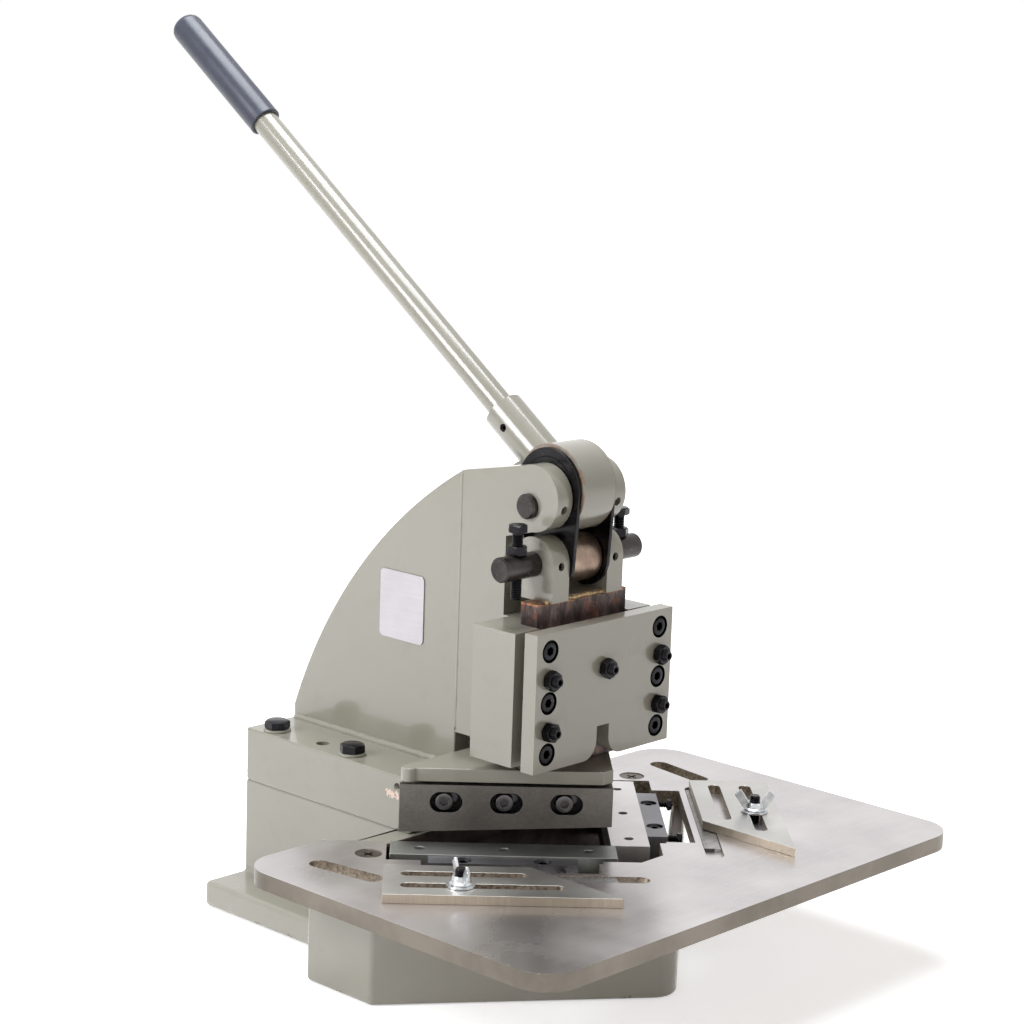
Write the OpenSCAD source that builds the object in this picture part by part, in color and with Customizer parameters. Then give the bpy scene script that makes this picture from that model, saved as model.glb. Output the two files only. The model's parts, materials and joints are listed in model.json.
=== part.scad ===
// Hand-lever corner notcher. Lengths are in millimetres and +Z is up.
// The origin is the middle of the base's underside, the table is at the front (-Y),
// and the object is symmetric about X = 0.
// Inside placed(), Y counts from the front face of the front plate.
// Inside blade_side(), X runs outward from a shear plane (p), Y runs along it from
// the point of the V (q), and Z counts from the table top.

/* [Base] */
// Height of the table top above the bench
table_z = 96; // [90:1:120]
// Width of the block that carries the frame
block_w = 170; // [166:1:180]
// Front of that block, behind the front plate's face
block_front_y = 121; // [118:1:124]
// Rear of the base
base_rear_y = 288; // [286:1:310]
// Step from the table top down to the seat of the foot slab
seat_drop = 3; // [2:0.5:6]
// Width of the base flange
flange_w = 250; // [220:1:280]
// Thickness of the base flange
flange_t = 20; // [12:1:24]
// Width of the scrap chute
chute_w = 340; // [336:1:350]
// Rear face of the chute
chute_rear_y = 122; // [121:1:126]
// Front end of the chute's side walls
chute_side_y = 56; // [50:1:58]
// Nose of the chute, in front of the front plate
chute_nose = 78; // [76:1:90]
// Radius of the chute's nose
nose_r = 20; // [15:1:24]
// Thickness of the chute's walls
chute_wall = 12; // [8:1:14]
// Front edge of the ledge behind the die opening
ledge_y = 100; // [100:0.5:104]

/* [Die seats] */
// Width of a die seat, out from the shear plane
seat_w = 45; // [45:0.5:48]
// Setback of a die seat from the shear plane
seat_back = 2; // [1:0.5:4]
// Thickness of a die seat
seat_t = 25; // [20:1:30]

/* [Table] */
// Half width of the table
table_half_w = 225.7; // [218:0.1:240]
// Front edge of the table, in front of the front plate
table_front = 157.5; // [150:0.5:175]
// Rear edge of the table
table_rear_y = 133; // [128:0.5:136]
// Thickness of the table
table_t = 12; // [8:0.5:14]
// Radius of the table's corners
table_r = 28; // [15:1:40]
// Width of the blade pocket
pocket_w = 40.5; // [38:0.5:44]
// Outer end of the blade pocket
pocket_end = 160.5; // [159:0.5:162]
// Outer edge of the window
window_w = 61.7; // [58:0.1:64]
// Front end of the window
window_start = 11; // [8:0.5:20]
// Rear end of the window
window_end = 136; // [134:0.5:140]
// Half size of the pocket at the point of the V
nose_pocket = 35.7; // [34:0.1:38]
// Cut of the chamfer of that pocket
nose_pocket_cut = 16.7; // [8:0.1:20]
// Start of the wider blade pocket
nose_pocket_start = 8; // [4:0.5:10]
// Distance of the scale groove's middle from the shear plane
groove_p = 73; // [72:0.5:76]
// Width of the scale groove
groove_w = 13; // [10:0.5:15]
// Depth of the scale groove
groove_depth = 3; // [2:0.5:4]
// Front end of the scale groove
groove_start = -22; // [-28:1:-16]
// Rear end of the scale groove
groove_end = 147; // [140:1:155]
// Front end of the graduated strip
strip_start = 0; // [-6:1:6]
// Thickness of the graduated strip
strip_t = 2.4; // [1:0.1:2.6]
// Width of the rear stop slots
stop_slot_w = 15; // [10:0.5:17]
// Length of the rear stop slots between the centres of their ends
stop_slot_length = 46; // [30:1:50]
// Angle of the rear stop slots to the side of the table
stop_slot_angle = 8.5; // [0:0.5:12]
// Sideways place of the rear stop slots
stop_slot_x = 179.5; // [176:0.5:184]
// Depthwise place of the rear stop slots
stop_slot_y = 73; // [68:0.5:80]
// Sideways place of a table screw
table_screw_x = 142; // [140:0.5:144]
// Depthwise place of a table screw
table_screw_y = 90; // [88:0.5:92]

/* [Blades] */
// Place of the point of the V, in front of the front plate
apex_front = 12.3; // [11:0.1:14]
// Length of the upper blades
blade_length = 152.4; // [150:0.1:153]
// Top of the upper blades above the table
blade_top = 42.3; // [40:0.1:44]
// Height of the upper edge over the table at its outer end
edge_outer = 6.9; // [6:0.1:8]
// Height of the upper edge over the table at the point
edge_point = 13.7; // [12:0.1:15]
// Thickness of the upper blades
blade_t = 16; // [12:0.5:18]
// Running gap between upper and lower blades
blade_gap = 0.1; // [0.05:0.05:0.2]
// Width of the lower blades
lower_w = 28; // [26:0.5:28]
// Length of the lower blades
lower_length = 158; // [156:0.5:159]
// Thickness of the lower blades
lower_t = 20; // [16:0.5:22]
// Overrun of the left lower blade past the point
lower_overrun = 3; // [1:0.5:4]
// First screw hole of the lower blades
lower_hole_start = 17; // [14:0.5:20]
// Distance between the screw holes of the lower blades
lower_hole_pitch = 60; // [55:0.5:62]
// First screw slot of the upper blades
slot_start = 33; // [30:0.5:36]
// Distance between the screw slots of the upper blades
slot_pitch = 43; // [40:0.5:45]
// Height of those slots over the table
slot_z = 29.5; // [28:0.5:31]
// Length of a counterbored slot
slot_l = 23.3; // [20:0.1:25]
// Width of a counterbored slot
slot_w = 15; // [14:0.5:16]

/* [Adjusting blocks] */
// Width of an adjusting block
adj_w = 15.4; // [15:0.1:15.8]
// Front end of an adjusting block
adj_start = 26; // [24:0.5:30]
// Length of an adjusting block
adj_length = 105; // [100:1:106]
// Distance between an adjusting block's clamp screws
adj_screw_pitch = 56; // [50:1:60]
// Distance between an adjusting block's push screws
adj_push_pitch = 82; // [80:1:88]
// Depth of the push screws below the table top
adj_push_drop = 6; // [5:0.5:8]
// Reach of a push screw's head from the shear plane
adj_push_reach = 54.5; // [50:0.5:56]

/* [Fences] */
// Width of a fence
fence_w = 60; // [54:1:66]
// Length of the long edge of a fence
fence_l = 161; // [155:1:175]
// Thickness of a fence
fence_t = 6.5; // [4:0.5:8]
// Inner edge of a fence from the shear plane
fence_p = 70; // [68:0.5:74]
// Place of the left fence along its slot
fence_left_q = 0.5; // [-10:0.5:10]
// Place of the right fence along its slot
fence_right_q = -17; // [-27:0.5:-7]
// Width of the fence slots
fence_slot_w = 9; // [8.6:0.1:10]
// Inner slot's distance from the inner edge
fence_slot1_p = 17.5; // [14:0.5:20]
// Outer slot's distance from the inner edge
fence_slot2_p = 41; // [38:0.5:44]
// Outer end of both slots, from the square end
fence_slot_margin = 12; // [10:0.5:14]
// Length of the inner slot
fence_slot1_l = 85.5; // [70:0.5:88]
// Length of the outer slot
fence_slot2_l = 110; // [90:0.5:112]
// Place of the left stud along the shear plane
stud_left_q = 109; // [100:0.5:114]
// Place of the right stud along the shear plane
stud_right_q = 67; // [60:0.5:72]

/* [Frame] */
// Front edge of the foot slab
slab_front_y = 106; // [104:0.5:108]
// Top of the foot slab above the table
slab_top = 38; // [36:0.5:40]
// Thickness of the frame plates
plate_t = 15; // [12:0.5:16]
// Half of the clear space between the frame plates
plate_half_gap = 21; // [21:0.1:22]
// Seam between head plates and rib plates
seam_y = 112; // [110:0.5:114]
// Radius of the quarter-round back
rib_r = 404.5; // [400:0.5:410]
// Centre of the quarter-round back, in front of the front plate
rib_centre_front = 92; // [88:0.5:96]
// Centre of the quarter-round back, below the table top
rib_centre_drop = 90; // [84:0.5:94]
// Half width of the guide block
guide_half_w = 72.3; // [70:0.1:76]
// Front of the guide block
guide_front_y = 21.2; // [18:0.1:23]
// Rear of the guide block
guide_rear_y = 61.5; // [58:0.1:64]
// Underside of the guide block above the table
guide_bottom = 64; // [62:0.5:66]
// Top of the guide block above the table
guide_top = 160.5; // [155:0.5:162]
// Front edge of the head plates above the guide block
cheek_y = 67; // [66:0.5:70]
// Height of the lower spacers above the slab
spacer_low = 28; // [15:1:40]
// Height of the upper spacer above the slab
spacer_high = 130; // [100:1:150]
// Distance of the spacers from the ends of the rib plates
spacer_inset = 34; // [20:1:60]
// Radius of the spacers
spacer_r = 10; // [6:0.5:14]
// Distance of the base bolts from the block's sides
base_bolt_edge = 12.5; // [11:0.5:17]
// Distance of the levelling screws from the block's sides
level_edge = 15; // [11:0.5:19]
// Depthwise place of the slab's levelling screws
level_y = 217.3; // [208:0.1:230]
// Depthwise place of the front pair of base bolts
base_bolt_y = 182; // [178:0.5:188]
// Distance between the pairs of base bolts
base_bolt_pitch = 84; // [76:1:88]

/* [Front plate] */
// Half width of the front plate
front_half_w = 72.5; // [70:0.1:76]
// Thickness of the front plate
front_t = 12; // [11:0.5:14]
// Underside of the front plate above the table
front_bottom = 63.5; // [62:0.5:66]
// Top of the front plate above the table
front_top = 163; // [160:0.5:166]
// Half width of the notch in the front plate
notch_half_w = 6.5; // [5:0.5:9]
// Top of that notch above the table
notch_top = 87; // [80:0.5:92]
// Radius of the notch's lower corners
notch_r = 13.5; // [6:0.5:16]
// Sideways place of the cap screws
cap_x = 58.7; // [57:0.1:60]
// Height of the lowest cap screws above the table
cap_z = 76; // [74:0.5:78]
// Distance between the cap screws
cap_pitch = 37; // [35:0.5:38]
// Height of the lower gib screws above the table
jack_z = 92.7; // [91:0.1:97]
// Height of the gib's grub screw above the table
gib_screw_z = 129; // [120:0.5:135]

/* [Ram] */
// Half width of the ram
ram_half_w = 47.4; // [45:0.1:50]
// Front face of the ram
ram_y = 24; // [23:0.1:26]
// Thickness of the ram
ram_t = 16; // [14:0.5:18]
// Top of the ram above the table
ram_top = 177; // [175:0.5:178]
// Running clearance of the ram in its guide
ram_gap = 0.1; // [0.05:0.05:0.2]
// Thickness of the ram's foot
foot_t = 10; // [8:0.5:11]
// Rear edge of the ram's foot and the blades
foot_rear_y = 99; // [97:0.5:99]
// Gap between the upper blades and the ram's foot
foot_lift = 2.2; // [0.5:0.1:3]
// Travel of the ram
stroke = 16; // [14.8:0.1:16.2]
// Radius of the lower shaft
shaft_r = 9; // [8:0.1:9.5]
// Half length of the lower shaft
shaft_half_l = 71.8; // [66:0.1:74]
// Depthwise place of the lower shaft
shaft_y = 39; // [38.5:0.1:41]
// Height of the lower shaft above the table
shaft_z = 202.5; // [202:0.1:203]
// Radius of the clevis ears
clevis_r = 19.5; // [18:0.1:20]
// Inner faces of the clevis ears from the middle
clevis_in = 20.3; // [20.3:0.1:21]
// Thickness of the clevis ears
clevis_t = 17; // [12:0.1:18]
// Sideways place of the stop bolts
stop_x = 54; // [50:0.5:56]
// Room under the stop bolts when the ram is all the way down
stop_room = 3; // [0.3:0.1:5]
// Length of the stop bolts
stop_l = 48; // [44:0.5:48]

/* [Lever] */
// Radius of the upper pin
pin_r = 9; // [8:0.1:9.5]
// Half length of the upper pin
pin_half_l = 40.5; // [37:0.1:44]
// Depthwise place of the upper pin
pin_y = 46; // [45:0.1:47]
// Height of the upper pin above the table
pin_z = 242.7; // [242:0.1:243.5]
// Offset of the eccentric from the upper pin
throw_e = 11.5; // [11:0.1:12]
// Lean of that offset at rest, forward of straight up
throw_angle = 15; // [12:0.5:20]
// Radius of the eccentric
barrel_r = 32; // [31:0.1:32.4]
// Half width of the eccentric and of the roller
barrel_half_w = 16.8; // [15:0.1:16.8]
// Radius of the eccentric's journals
journal_r = 23; // [22.8:0.1:24]
// Radius of the bronze roller
roller_r = 18; // [17:0.1:18.3]
// Slope of the handle at rest
handle_angle = 36.1; // [34:0.1:40]
// Radius of the handle socket
socket_r = 15.2; // [14:0.05:16]
// Mouth of the handle socket from the eccentric's centre
socket_l = 79; // [70:0.5:85]
// Radius of the handle rod
rod_r = 10; // [9:0.05:11]
// Start of the grip from the eccentric's centre
grip_start = 407.5; // [350:1:450]
// Length of the grip
grip_l = 124; // [100:1:140]
// Radius of the grip
grip_r = 12.7; // [11:0.05:15]

/* [Links] */
// Thickness of the links
link_t = 3; // [2:0.1:3.1]
// Radius of a link's upper ring
link_top_r = 29.5; // [28:0.1:30]
// Radius of a link's lower ring
link_low_r = 22; // [20:0.1:22.4]
// Extra radius of a link's lower hole, which is the freed pivot
link_free = 3.4; // [3.2:0.1:5]

/* [Plate] */
// Width of the blank plate
badge_w = 46; // [30:1:50]
// Height of the blank plate
badge_h = 52; // [30:1:56]
// Depthwise place of the blank plate's middle
badge_y = 170; // [150:1:200]
// Height of the blank plate's middle above the table
badge_up = 148; // [110:1:160]

/* [Fits] */
// Radial clearance of pins and shafts in their bores
fit = 0.05; // [0.02:0.01:0.08]
// Gap between a fence and the washer over it
washer_gap = 0.2; // [0.1:0.05:0.4]
// Gap at a stop
stop_gap = 0.3; // [0.2:0.05:0.5]

/* [Hidden] */
$fn = 48;

paint = [0.66, 0.65, 0.60];
steel = [0.72, 0.71, 0.71];
dark_steel = [0.33, 0.33, 0.33];
black = [0.12, 0.12, 0.13];
zinc = [0.75, 0.77, 0.78];
burnt_steel = [0.42, 0.36, 0.38];
bronze = [0.63, 0.50, 0.38];

sides = [-1, 1];
over = 1; // how far a cutter runs past a face
hair = 0.05; // overlap of shapes that would else only touch

// Fastener sizes
m5_r = 2.5;
m5_flats = 8;
m5_head = 3.5;
m6_r = 3;
m6_key = 3;
m8_r = 4;
m8_drill_r = 3.4;
m8_head_r = 6.5;
m8_head = 8;
m8_key = 6;
m8_flats = 13;
m8_nut = 6.5;
m10_r = 5;
m10_flats = 17;
m10_head = 6.4;
m10_key = 5;
m10_washer_r = 10.5;
m10_washer_t = 2;
hole_slack = 0.5; // clearance of a plain bolt hole, on the radius
sink_slack = 1.6; // clearance round a sunk screw head in the front plate
head_slack = 0.4; // clearance of a screw head in its counterbore
end_slack = 1; // room past the end of a screw
base_bite = 25; // reach of the base bolts into the casting
block_room = 0.5; // clearance round an adjusting block
block_bite = 15; // depth of the block screws' holes in the die seats

// Places that follow from the sizes above
base_bolt_x = block_w / 2 - base_bolt_edge;
level_x = block_w / 2 - level_edge;
base_centre_y = (chute_rear_y + base_rear_y) / 2;
seat_z = table_z - seat_drop;
rail_z = table_z - table_t;
slab_z = table_z + slab_top;
plate_out = plate_half_gap + plate_t;
die_floor = -lower_t - seat_t;
guide_low_z = table_z + guide_bottom;
guide_top_z = table_z + guide_top;
ram_foot_top = table_z + blade_top + foot_lift + foot_t;
ram_foot_z = ram_foot_top - foot_t;
ram_top_z = table_z + ram_top;
ram_rear_y = ram_y + ram_t;
shaft = [shaft_y, table_z + shaft_z];
pin = [pin_y, table_z + pin_z];
hub = [pin_y - throw_e * sin(throw_angle), pin[1] + throw_e * cos(throw_angle)];
gusset_start = pocket_end + 1.5;
gusset_l = 24;
gusset_end = gusset_start + gusset_l;
screw_clear_r = m8_r + hole_slack;
groove_q = (groove_start + groove_end) / 2;
groove_l = groove_end - groove_start;
strip_half_w = groove_w / 2 - 0.5;
stud_p = fence_p + fence_slot2_p;
front_bottom_z = table_z + front_bottom;
front_top_z = table_z + front_top;
gib_y = ram_y - ram_gap;
gib_inset = 1.4;
gib_half_w = ram_half_w - gib_inset;
head_r = 24;
head_lean = 3.5;
head_rise = 6;
crown_rise = 29.8;
neck_drop = 24.7;
bar_back = 34;
rib_centre = [-rib_centre_front, table_z - rib_centre_drop];
clevis_web = 2.5;
adj_mid = adj_start + adj_length / 2;
adj_top = -1; // the blocks lie this much under the table top
badge_z = table_z + badge_up;
badge_t = 1;

// ---------- placing and shape helpers ----------

// Y counts from the front face of the front plate
module placed() {
    translate([0, -base_centre_y, 0]) children();
}

// The left side is the mirror image of the right side
module on_side(side) {
    if (side < 0) mirror([1, 0, 0]) children();
    else children();
}

// Blade axes: X outward from the shear plane, Y along it, Z from the table top
module blade_side(side) {
    placed() on_side(side) translate([0, -apex_front, table_z]) rotate([0, 0, -45]) children();
}

// A shape drawn in depth and height, given thickness from x0 to x1
module across(x0, x1) {
    translate([x0, 0, 0]) rotate([90, 0, 90]) linear_extrude(x1 - x0) children();
}

// Bar with round ends, drawn along Y, with l between the centres of its ends
module stadium(l, w) {
    square([w, l], center = true);
    for (s = sides) translate([0, s * l / 2]) circle(d = w);
}

module hex(flats) {
    circle(r = flats / 2 / cos(30), $fn = 6);
}

module hex_prism(flats, h) {
    linear_extrude(h) hex(flats);
}

// Socket head cap screw: its seat is at Z = 0, its head above, its shank below
module cap_screw(r, head_r, head_h, key, l) {
    difference() {
        union() {
            cylinder(r = head_r, h = head_h);
            translate([0, 0, -l]) cylinder(r = r, h = l);
        }
        translate([0, 0, head_h * 0.45]) hex_prism(key, head_h);
    }
}

// Hex bolt with its seat at Z = 0
module hex_bolt(r, flats, head_h, l) {
    hex_prism(flats, head_h);
    translate([0, 0, -l]) cylinder(r = r, h = l);
}

// Grub screw with its socket at Z = 0 and its point below
module grub_screw(r, key, l) {
    difference() {
        translate([0, 0, -l]) cylinder(r = r, h = l);
        translate([0, 0, -key]) hex_prism(key, key + over);
    }
}

// Turns a +Z part to face the front
module facing_front() {
    rotate([90, 0, 0]) children();
}

// Sides of a link between two rings, in depth and height. They lie a hair inside
// the rings' tangents, so that they cut both rings.
module link_sides(c1, r1, c2, r2) {
    d = norm(c2 - c1);
    base = atan2(c2[1] - c1[1], c2[0] - c1[0]);
    spread = acos((r1 - r2) / d);
    up = [cos(base + spread), sin(base + spread)];
    down = [cos(base - spread), sin(base - spread)];
    polygon([
        c1 + (r1 - hair) * up, c2 + (r2 - hair) * up,
        c2 + (r2 - hair) * down, c1 + (r1 - hair) * down
    ]);
}

// ---------- base ----------

chute_half_w = chute_w / 2;
chute_slope = (chute_side_y + chute_nose) / chute_half_w;
nose_angle = atan(chute_slope);
nose_y = nose_r / cos(nose_angle) - chute_nose;
inner_nose_y = chute_wall / cos(nose_angle) - chute_nose;
inner_half_w = chute_half_w - chute_wall;

module chute_outline() {
    nose_x = nose_r * sin(nose_angle);
    nose_tip_y = nose_y - nose_r * cos(nose_angle);
    polygon([
        [-chute_half_w, chute_rear_y], [-chute_half_w, chute_side_y],
        [-nose_x, nose_tip_y], [nose_x, nose_tip_y],
        [chute_half_w, chute_side_y], [chute_half_w, chute_rear_y]
    ]);
    translate([0, nose_y]) circle(r = nose_r);
}

module chute_inside() {
    side_y = inner_nose_y + chute_slope * inner_half_w;
    polygon([
        [-inner_half_w, ledge_y], [-inner_half_w, side_y], [0, inner_nose_y],
        [inner_half_w, side_y], [inner_half_w, ledge_y]
    ]);
}

// The shelf under each lower blade, and the corner that the table screw enters
module die_seats() {
    for (side = sides) {
        on_side(side) translate([0, -apex_front, table_z]) rotate([0, 0, -45]) {
            translate([seat_back, -seat_w, die_floor]) cube([seat_w - seat_back, seat_w + gusset_end, seat_t]);
            translate([seat_back, gusset_start, die_floor])
                cube([seat_w - seat_back, gusset_l, -die_floor - table_t]);
        }
    }
}

module base_bolt_places() {
    for (side = sides, row = [0, 1])
        translate([side * base_bolt_x, base_bolt_y + row * base_bolt_pitch, slab_z]) children();
}

module table_screw_places() {
    for (side = sides) translate([side * table_screw_x, table_screw_y, table_z]) children();
}

module lower_hole_places() {
    for (i = [0:2]) translate([lower_w / 2, lower_hole_start + i * lower_hole_pitch, 0]) children();
}

module block_screw_places() {
    for (s = sides) translate([lower_w + adj_w / 2, adj_mid + s * adj_screw_pitch / 2, 0]) children();
}

base_bolt_l = slab_top + seat_drop + base_bite;
table_screw_l = 30;

module base_casting() {
    mouth_z = 30;
    mouth_margin = 8;
    mouth_h = rail_z - mouth_margin - mouth_z;
    mouth_lead = 12;
    mouth_front_y = chute_side_y - mouth_lead;
    mouth_rear_y = ledge_y - 4;
    ledge_slack = 0.5;
    ledge_half_w = chute_rear_y + apex_front - ledge_slack;
    color(paint) placed() difference() {
        union() {
            translate([-block_w / 2, block_front_y, 0])
                cube([block_w, base_rear_y - block_front_y, seat_z]);
            translate([-flange_w / 2, block_front_y, 0])
                cube([flange_w, base_rear_y - block_front_y, flange_t]);
            linear_extrude(rail_z) difference() {
                chute_outline();
                chute_inside();
            }
            // the ledge behind the die opening, up to the slab's seat
            intersection() {
                translate([-chute_half_w, ledge_y, rail_z - over])
                    cube([chute_w, chute_rear_y - ledge_y, seat_z - rail_z + over]);
                linear_extrude(seat_z + over) polygon([
                    [0, -apex_front - ledge_slack],
                    [ledge_half_w, chute_rear_y - 2 * ledge_slack],
                    [ledge_half_w, chute_rear_y + over], [-ledge_half_w, chute_rear_y + over],
                    [-ledge_half_w, chute_rear_y - 2 * ledge_slack]
                ]);
            }
            intersection() {
                die_seats();
                linear_extrude(table_z) chute_outline();
            }
        }
        base_bolt_places() translate([0, 0, -base_bolt_l - over])
            cylinder(r = m10_r + fit, h = base_bolt_l + over);
        table_screw_places() translate([0, 0, -table_screw_l - over])
            cylinder(r = m8_r + fit, h = table_screw_l + over);
        for (side = sides) on_side(side) translate([0, -apex_front, table_z]) rotate([0, 0, -45]) {
            lower_hole_places() {
                translate([0, 0, die_floor - over]) cylinder(r = screw_clear_r, h = seat_t + 2 * over);
                translate([0, 0, die_floor - over]) cylinder(r = m8_head_r + hole_slack, h = m8_head + over);
            }
            block_screw_places() translate([0, 0, -lower_t - block_bite])
                cylinder(r = m6_r + fit, h = block_bite + over);
            translate([lower_w, adj_start - block_room, -lower_t])
                cube([adj_w + block_room, adj_length + 2 * block_room, lower_t]);
        }
        // the side mouth where the cut-off corners are raked out
        translate([inner_half_w - mouth_margin, mouth_front_y, mouth_z])
            cube([chute_wall + mouth_margin + over, mouth_rear_y - mouth_front_y, mouth_h]);
    }
}

module foot_slab() {
    side_hole_z = slab_z - 8.5;
    side_hole_l = 15;
    color(paint) placed() difference() {
        translate([-block_w / 2, slab_front_y, seat_z])
            cube([block_w, base_rear_y - slab_front_y, slab_z - seat_z]);
        base_bolt_places() translate([0, 0, -slab_top - seat_drop - over])
            cylinder(r = m10_r + hole_slack, h = slab_top + seat_drop + 2 * over);
        for (side = sides) {
            translate([side * level_x, level_y, seat_z - over])
                cylinder(r = m10_r + fit, h = slab_z - seat_z + 2 * over);
            translate([side * (block_w / 2 + over), block_front_y, side_hole_z])
                rotate([0, -side * 90, 0]) cylinder(r = m6_r, h = side_hole_l + over);
        }
    }
}

module base_bolts() {
    color(black) placed() base_bolt_places() translate([0, 0, m10_washer_t])
        hex_bolt(m10_r, m10_flats, m10_head, base_bolt_l + m10_washer_t - 2 * end_slack);
}

module base_washers() {
    color(black) placed() base_bolt_places() difference() {
        cylinder(r = m10_washer_r, h = m10_washer_t);
        translate([0, 0, -over]) cylinder(r = m10_r + hole_slack, h = m10_washer_t + 2 * over);
    }
}

module jack_screws() {
    top_z = slab_z - 3;
    color(black) placed() for (side = sides)
        translate([side * level_x, level_y, top_z]) grub_screw(m10_r, m10_key, top_z - seat_z);
}

// ---------- frame ----------

module rib_plate(side) {
    color(paint) placed() on_side(side) across(plate_half_gap, plate_out) intersection() {
        translate(rib_centre) circle(r = rib_r, $fn = 180);
        translate([seam_y, slab_z]) square([base_rear_y - seam_y, rib_r]);
    }
}

head_top_z = pin[1] + crown_rise;
head_front = [pin_y - head_lean, pin[1] + head_rise];
crown_y = pin_y - 2.5;
seam_top_z = rib_centre[1] + sqrt(pow(rib_r, 2) - pow(seam_y - rib_centre[0], 2));
head_under_z = pin[1] - neck_drop;

module head_plate(side) {
    neck = head_front - [6, head_r - 1.4];
    color(paint) placed() on_side(side) difference() {
        union() {
            across(plate_half_gap, plate_out) translate(head_front) circle(r = head_r);
            across(plate_half_gap, plate_out) polygon([
                [seam_y, guide_low_z], [guide_rear_y, guide_low_z], [guide_rear_y, guide_top_z],
                [cheek_y, guide_top_z], [cheek_y, head_under_z], neck, head_front,
                [crown_y, head_top_z], [seam_y, seam_top_z]
            ]);
        }
        translate([0, pin[0], pin[1]]) rotate([0, 90, 0]) cylinder(r = pin_r + fit, h = plate_out + over);
        translate([(plate_half_gap + plate_out) / 2, pin[0], pin[1]]) facing_front()
            cylinder(r = m6_r + fit, h = head_r + 10);
    }
}

module rib_spacers() {
    front_y = seam_y + spacer_inset;
    rear_y = base_rear_y - spacer_inset;
    color(paint) placed() for (at = [[front_y, spacer_low], [rear_y, spacer_low], [front_y, spacer_high]])
        translate([-plate_half_gap, at[0], slab_z + at[1]]) rotate([0, 90, 0])
            cylinder(r = spacer_r, h = 2 * plate_half_gap);
}

// Where the lever rests: a bar between the head plates, under the socket
module lever_stop_bar() {
    bar_y = pin_y + bar_back;
    bar_w = 12;
    bar_h = 28;
    along = (bar_y - hub[0] - socket_r * sin(handle_angle)) / cos(handle_angle);
    under_z = hub[1] - socket_r * cos(handle_angle) + along * sin(handle_angle);
    color(paint) placed() translate([-plate_half_gap, bar_y, under_z - stop_gap - bar_h])
        cube([2 * plate_half_gap, bar_w, bar_h]);
}

module cap_places() {
    for (side = sides, row = [0:2])
        translate([side * cap_x, 0, table_z + cap_z + row * cap_pitch]) children();
}

module jack_places() {
    for (side = sides, row = [0, 1])
        translate([side * cap_x, 0, table_z + jack_z + row * cap_pitch]) children();
}

cap_depth = m8_head + head_slack;
cap_l = 40;

module guide_block() {
    channel_x = ram_half_w + ram_gap;
    channel_y = ram_rear_y + ram_gap;
    color(paint) placed() difference() {
        translate([-guide_half_w, guide_front_y, guide_low_z])
            cube([2 * guide_half_w, guide_rear_y - guide_front_y, guide_top_z - guide_low_z]);
        translate([-channel_x, guide_front_y - over, guide_low_z - over])
            cube([2 * channel_x, channel_y - guide_front_y + over, guide_top_z - guide_low_z + 2 * over]);
        cap_places() translate([0, cap_depth + cap_l + over, 0]) facing_front()
            cylinder(r = m8_r + fit, h = cap_l);
    }
}

module front_outline() {
    difference() {
        translate([-front_half_w, front_bottom_z])
            square([2 * front_half_w, front_top_z - front_bottom_z]);
        translate([-notch_half_w, front_bottom_z - over])
            square([2 * notch_half_w, notch_top - front_bottom + over]);
        for (s = sides) difference() {
            translate([s * (notch_half_w + notch_r / 2), front_bottom_z + notch_r / 2])
                square(notch_r + hair, center = true);
            translate([s * (notch_half_w + notch_r), front_bottom_z + notch_r]) circle(r = notch_r);
        }
    }
}

module front_plate() {
    color(paint) placed() difference() {
        translate([0, front_t, 0]) facing_front() linear_extrude(front_t) front_outline();
        cap_places() {
            translate([0, front_t + over, 0]) facing_front()
                cylinder(r = screw_clear_r, h = front_t + 2 * over);
            translate([0, cap_depth, 0]) facing_front()
                cylinder(r = m8_head_r + sink_slack, h = cap_depth + over);
        }
        jack_places() translate([0, front_t + over, 0]) facing_front()
            cylinder(r = m8_r + fit, h = front_t + 2 * over);
        translate([0, front_t + over, table_z + gib_screw_z]) facing_front()
            cylinder(r = m8_r + fit, h = front_t + 2 * over);
    }
}

module front_plate_screws() {
    color(black) placed() cap_places() translate([0, cap_depth, 0]) facing_front()
        cap_screw(m8_r, m8_head_r, m8_head, m8_key, cap_l);
}

module gib_plate() {
    rise = 2;
    color(dark_steel) placed() translate([-gib_half_w, front_t, guide_low_z + rise])
        cube([2 * gib_half_w, gib_y - front_t, guide_top_z - guide_low_z - 2 * rise]);
}

jack_stub = 10;
jack_key = m8_key - 2;

module gib_jack_screws() {
    color(black) placed() {
        jack_places() translate([0, -jack_stub, 0]) facing_front()
            grub_screw(m8_r, jack_key, guide_front_y + jack_stub);
        translate([0, -jack_stub, table_z + gib_screw_z]) facing_front()
            grub_screw(m8_r, jack_key, front_t + jack_stub);
    }
}

module lock_nut() {
    facing_front() difference() {
        hex_prism(m8_flats, m8_nut);
        translate([0, 0, -over]) cylinder(r = m8_r + fit, h = m8_nut + 2 * over);
    }
}

module lock_nuts() {
    color(black) placed() {
        jack_places() lock_nut();
        translate([0, 0, table_z + gib_screw_z]) lock_nut();
    }
}

module upper_pin() {
    color(black) placed() translate([-pin_half_l, pin[0], pin[1]]) rotate([0, 90, 0])
        cylinder(r = pin_r, h = 2 * pin_half_l);
}

module pin_grub_screws() {
    grub_l = 10;
    color(black) placed() for (side = sides)
        translate([side * (plate_half_gap + plate_out) / 2, pin[0] - pin_r - fit - grub_l, pin[1]])
            facing_front() grub_screw(m6_r, m6_key, grub_l);
}

module blank_plate() {
    corner = 4;
    color(zinc) placed() translate([-plate_out - badge_t, 0, 0]) across(0, badge_t)
        translate([badge_y, badge_z]) {
            square([badge_w - 2 * corner, badge_h], center = true);
            square([badge_w, badge_h - 2 * corner], center = true);
            for (sy = sides, sz = sides)
                translate([sy * (badge_w / 2 - corner), sz * (badge_h / 2 - corner)]) circle(r = corner);
        }
}

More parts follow.
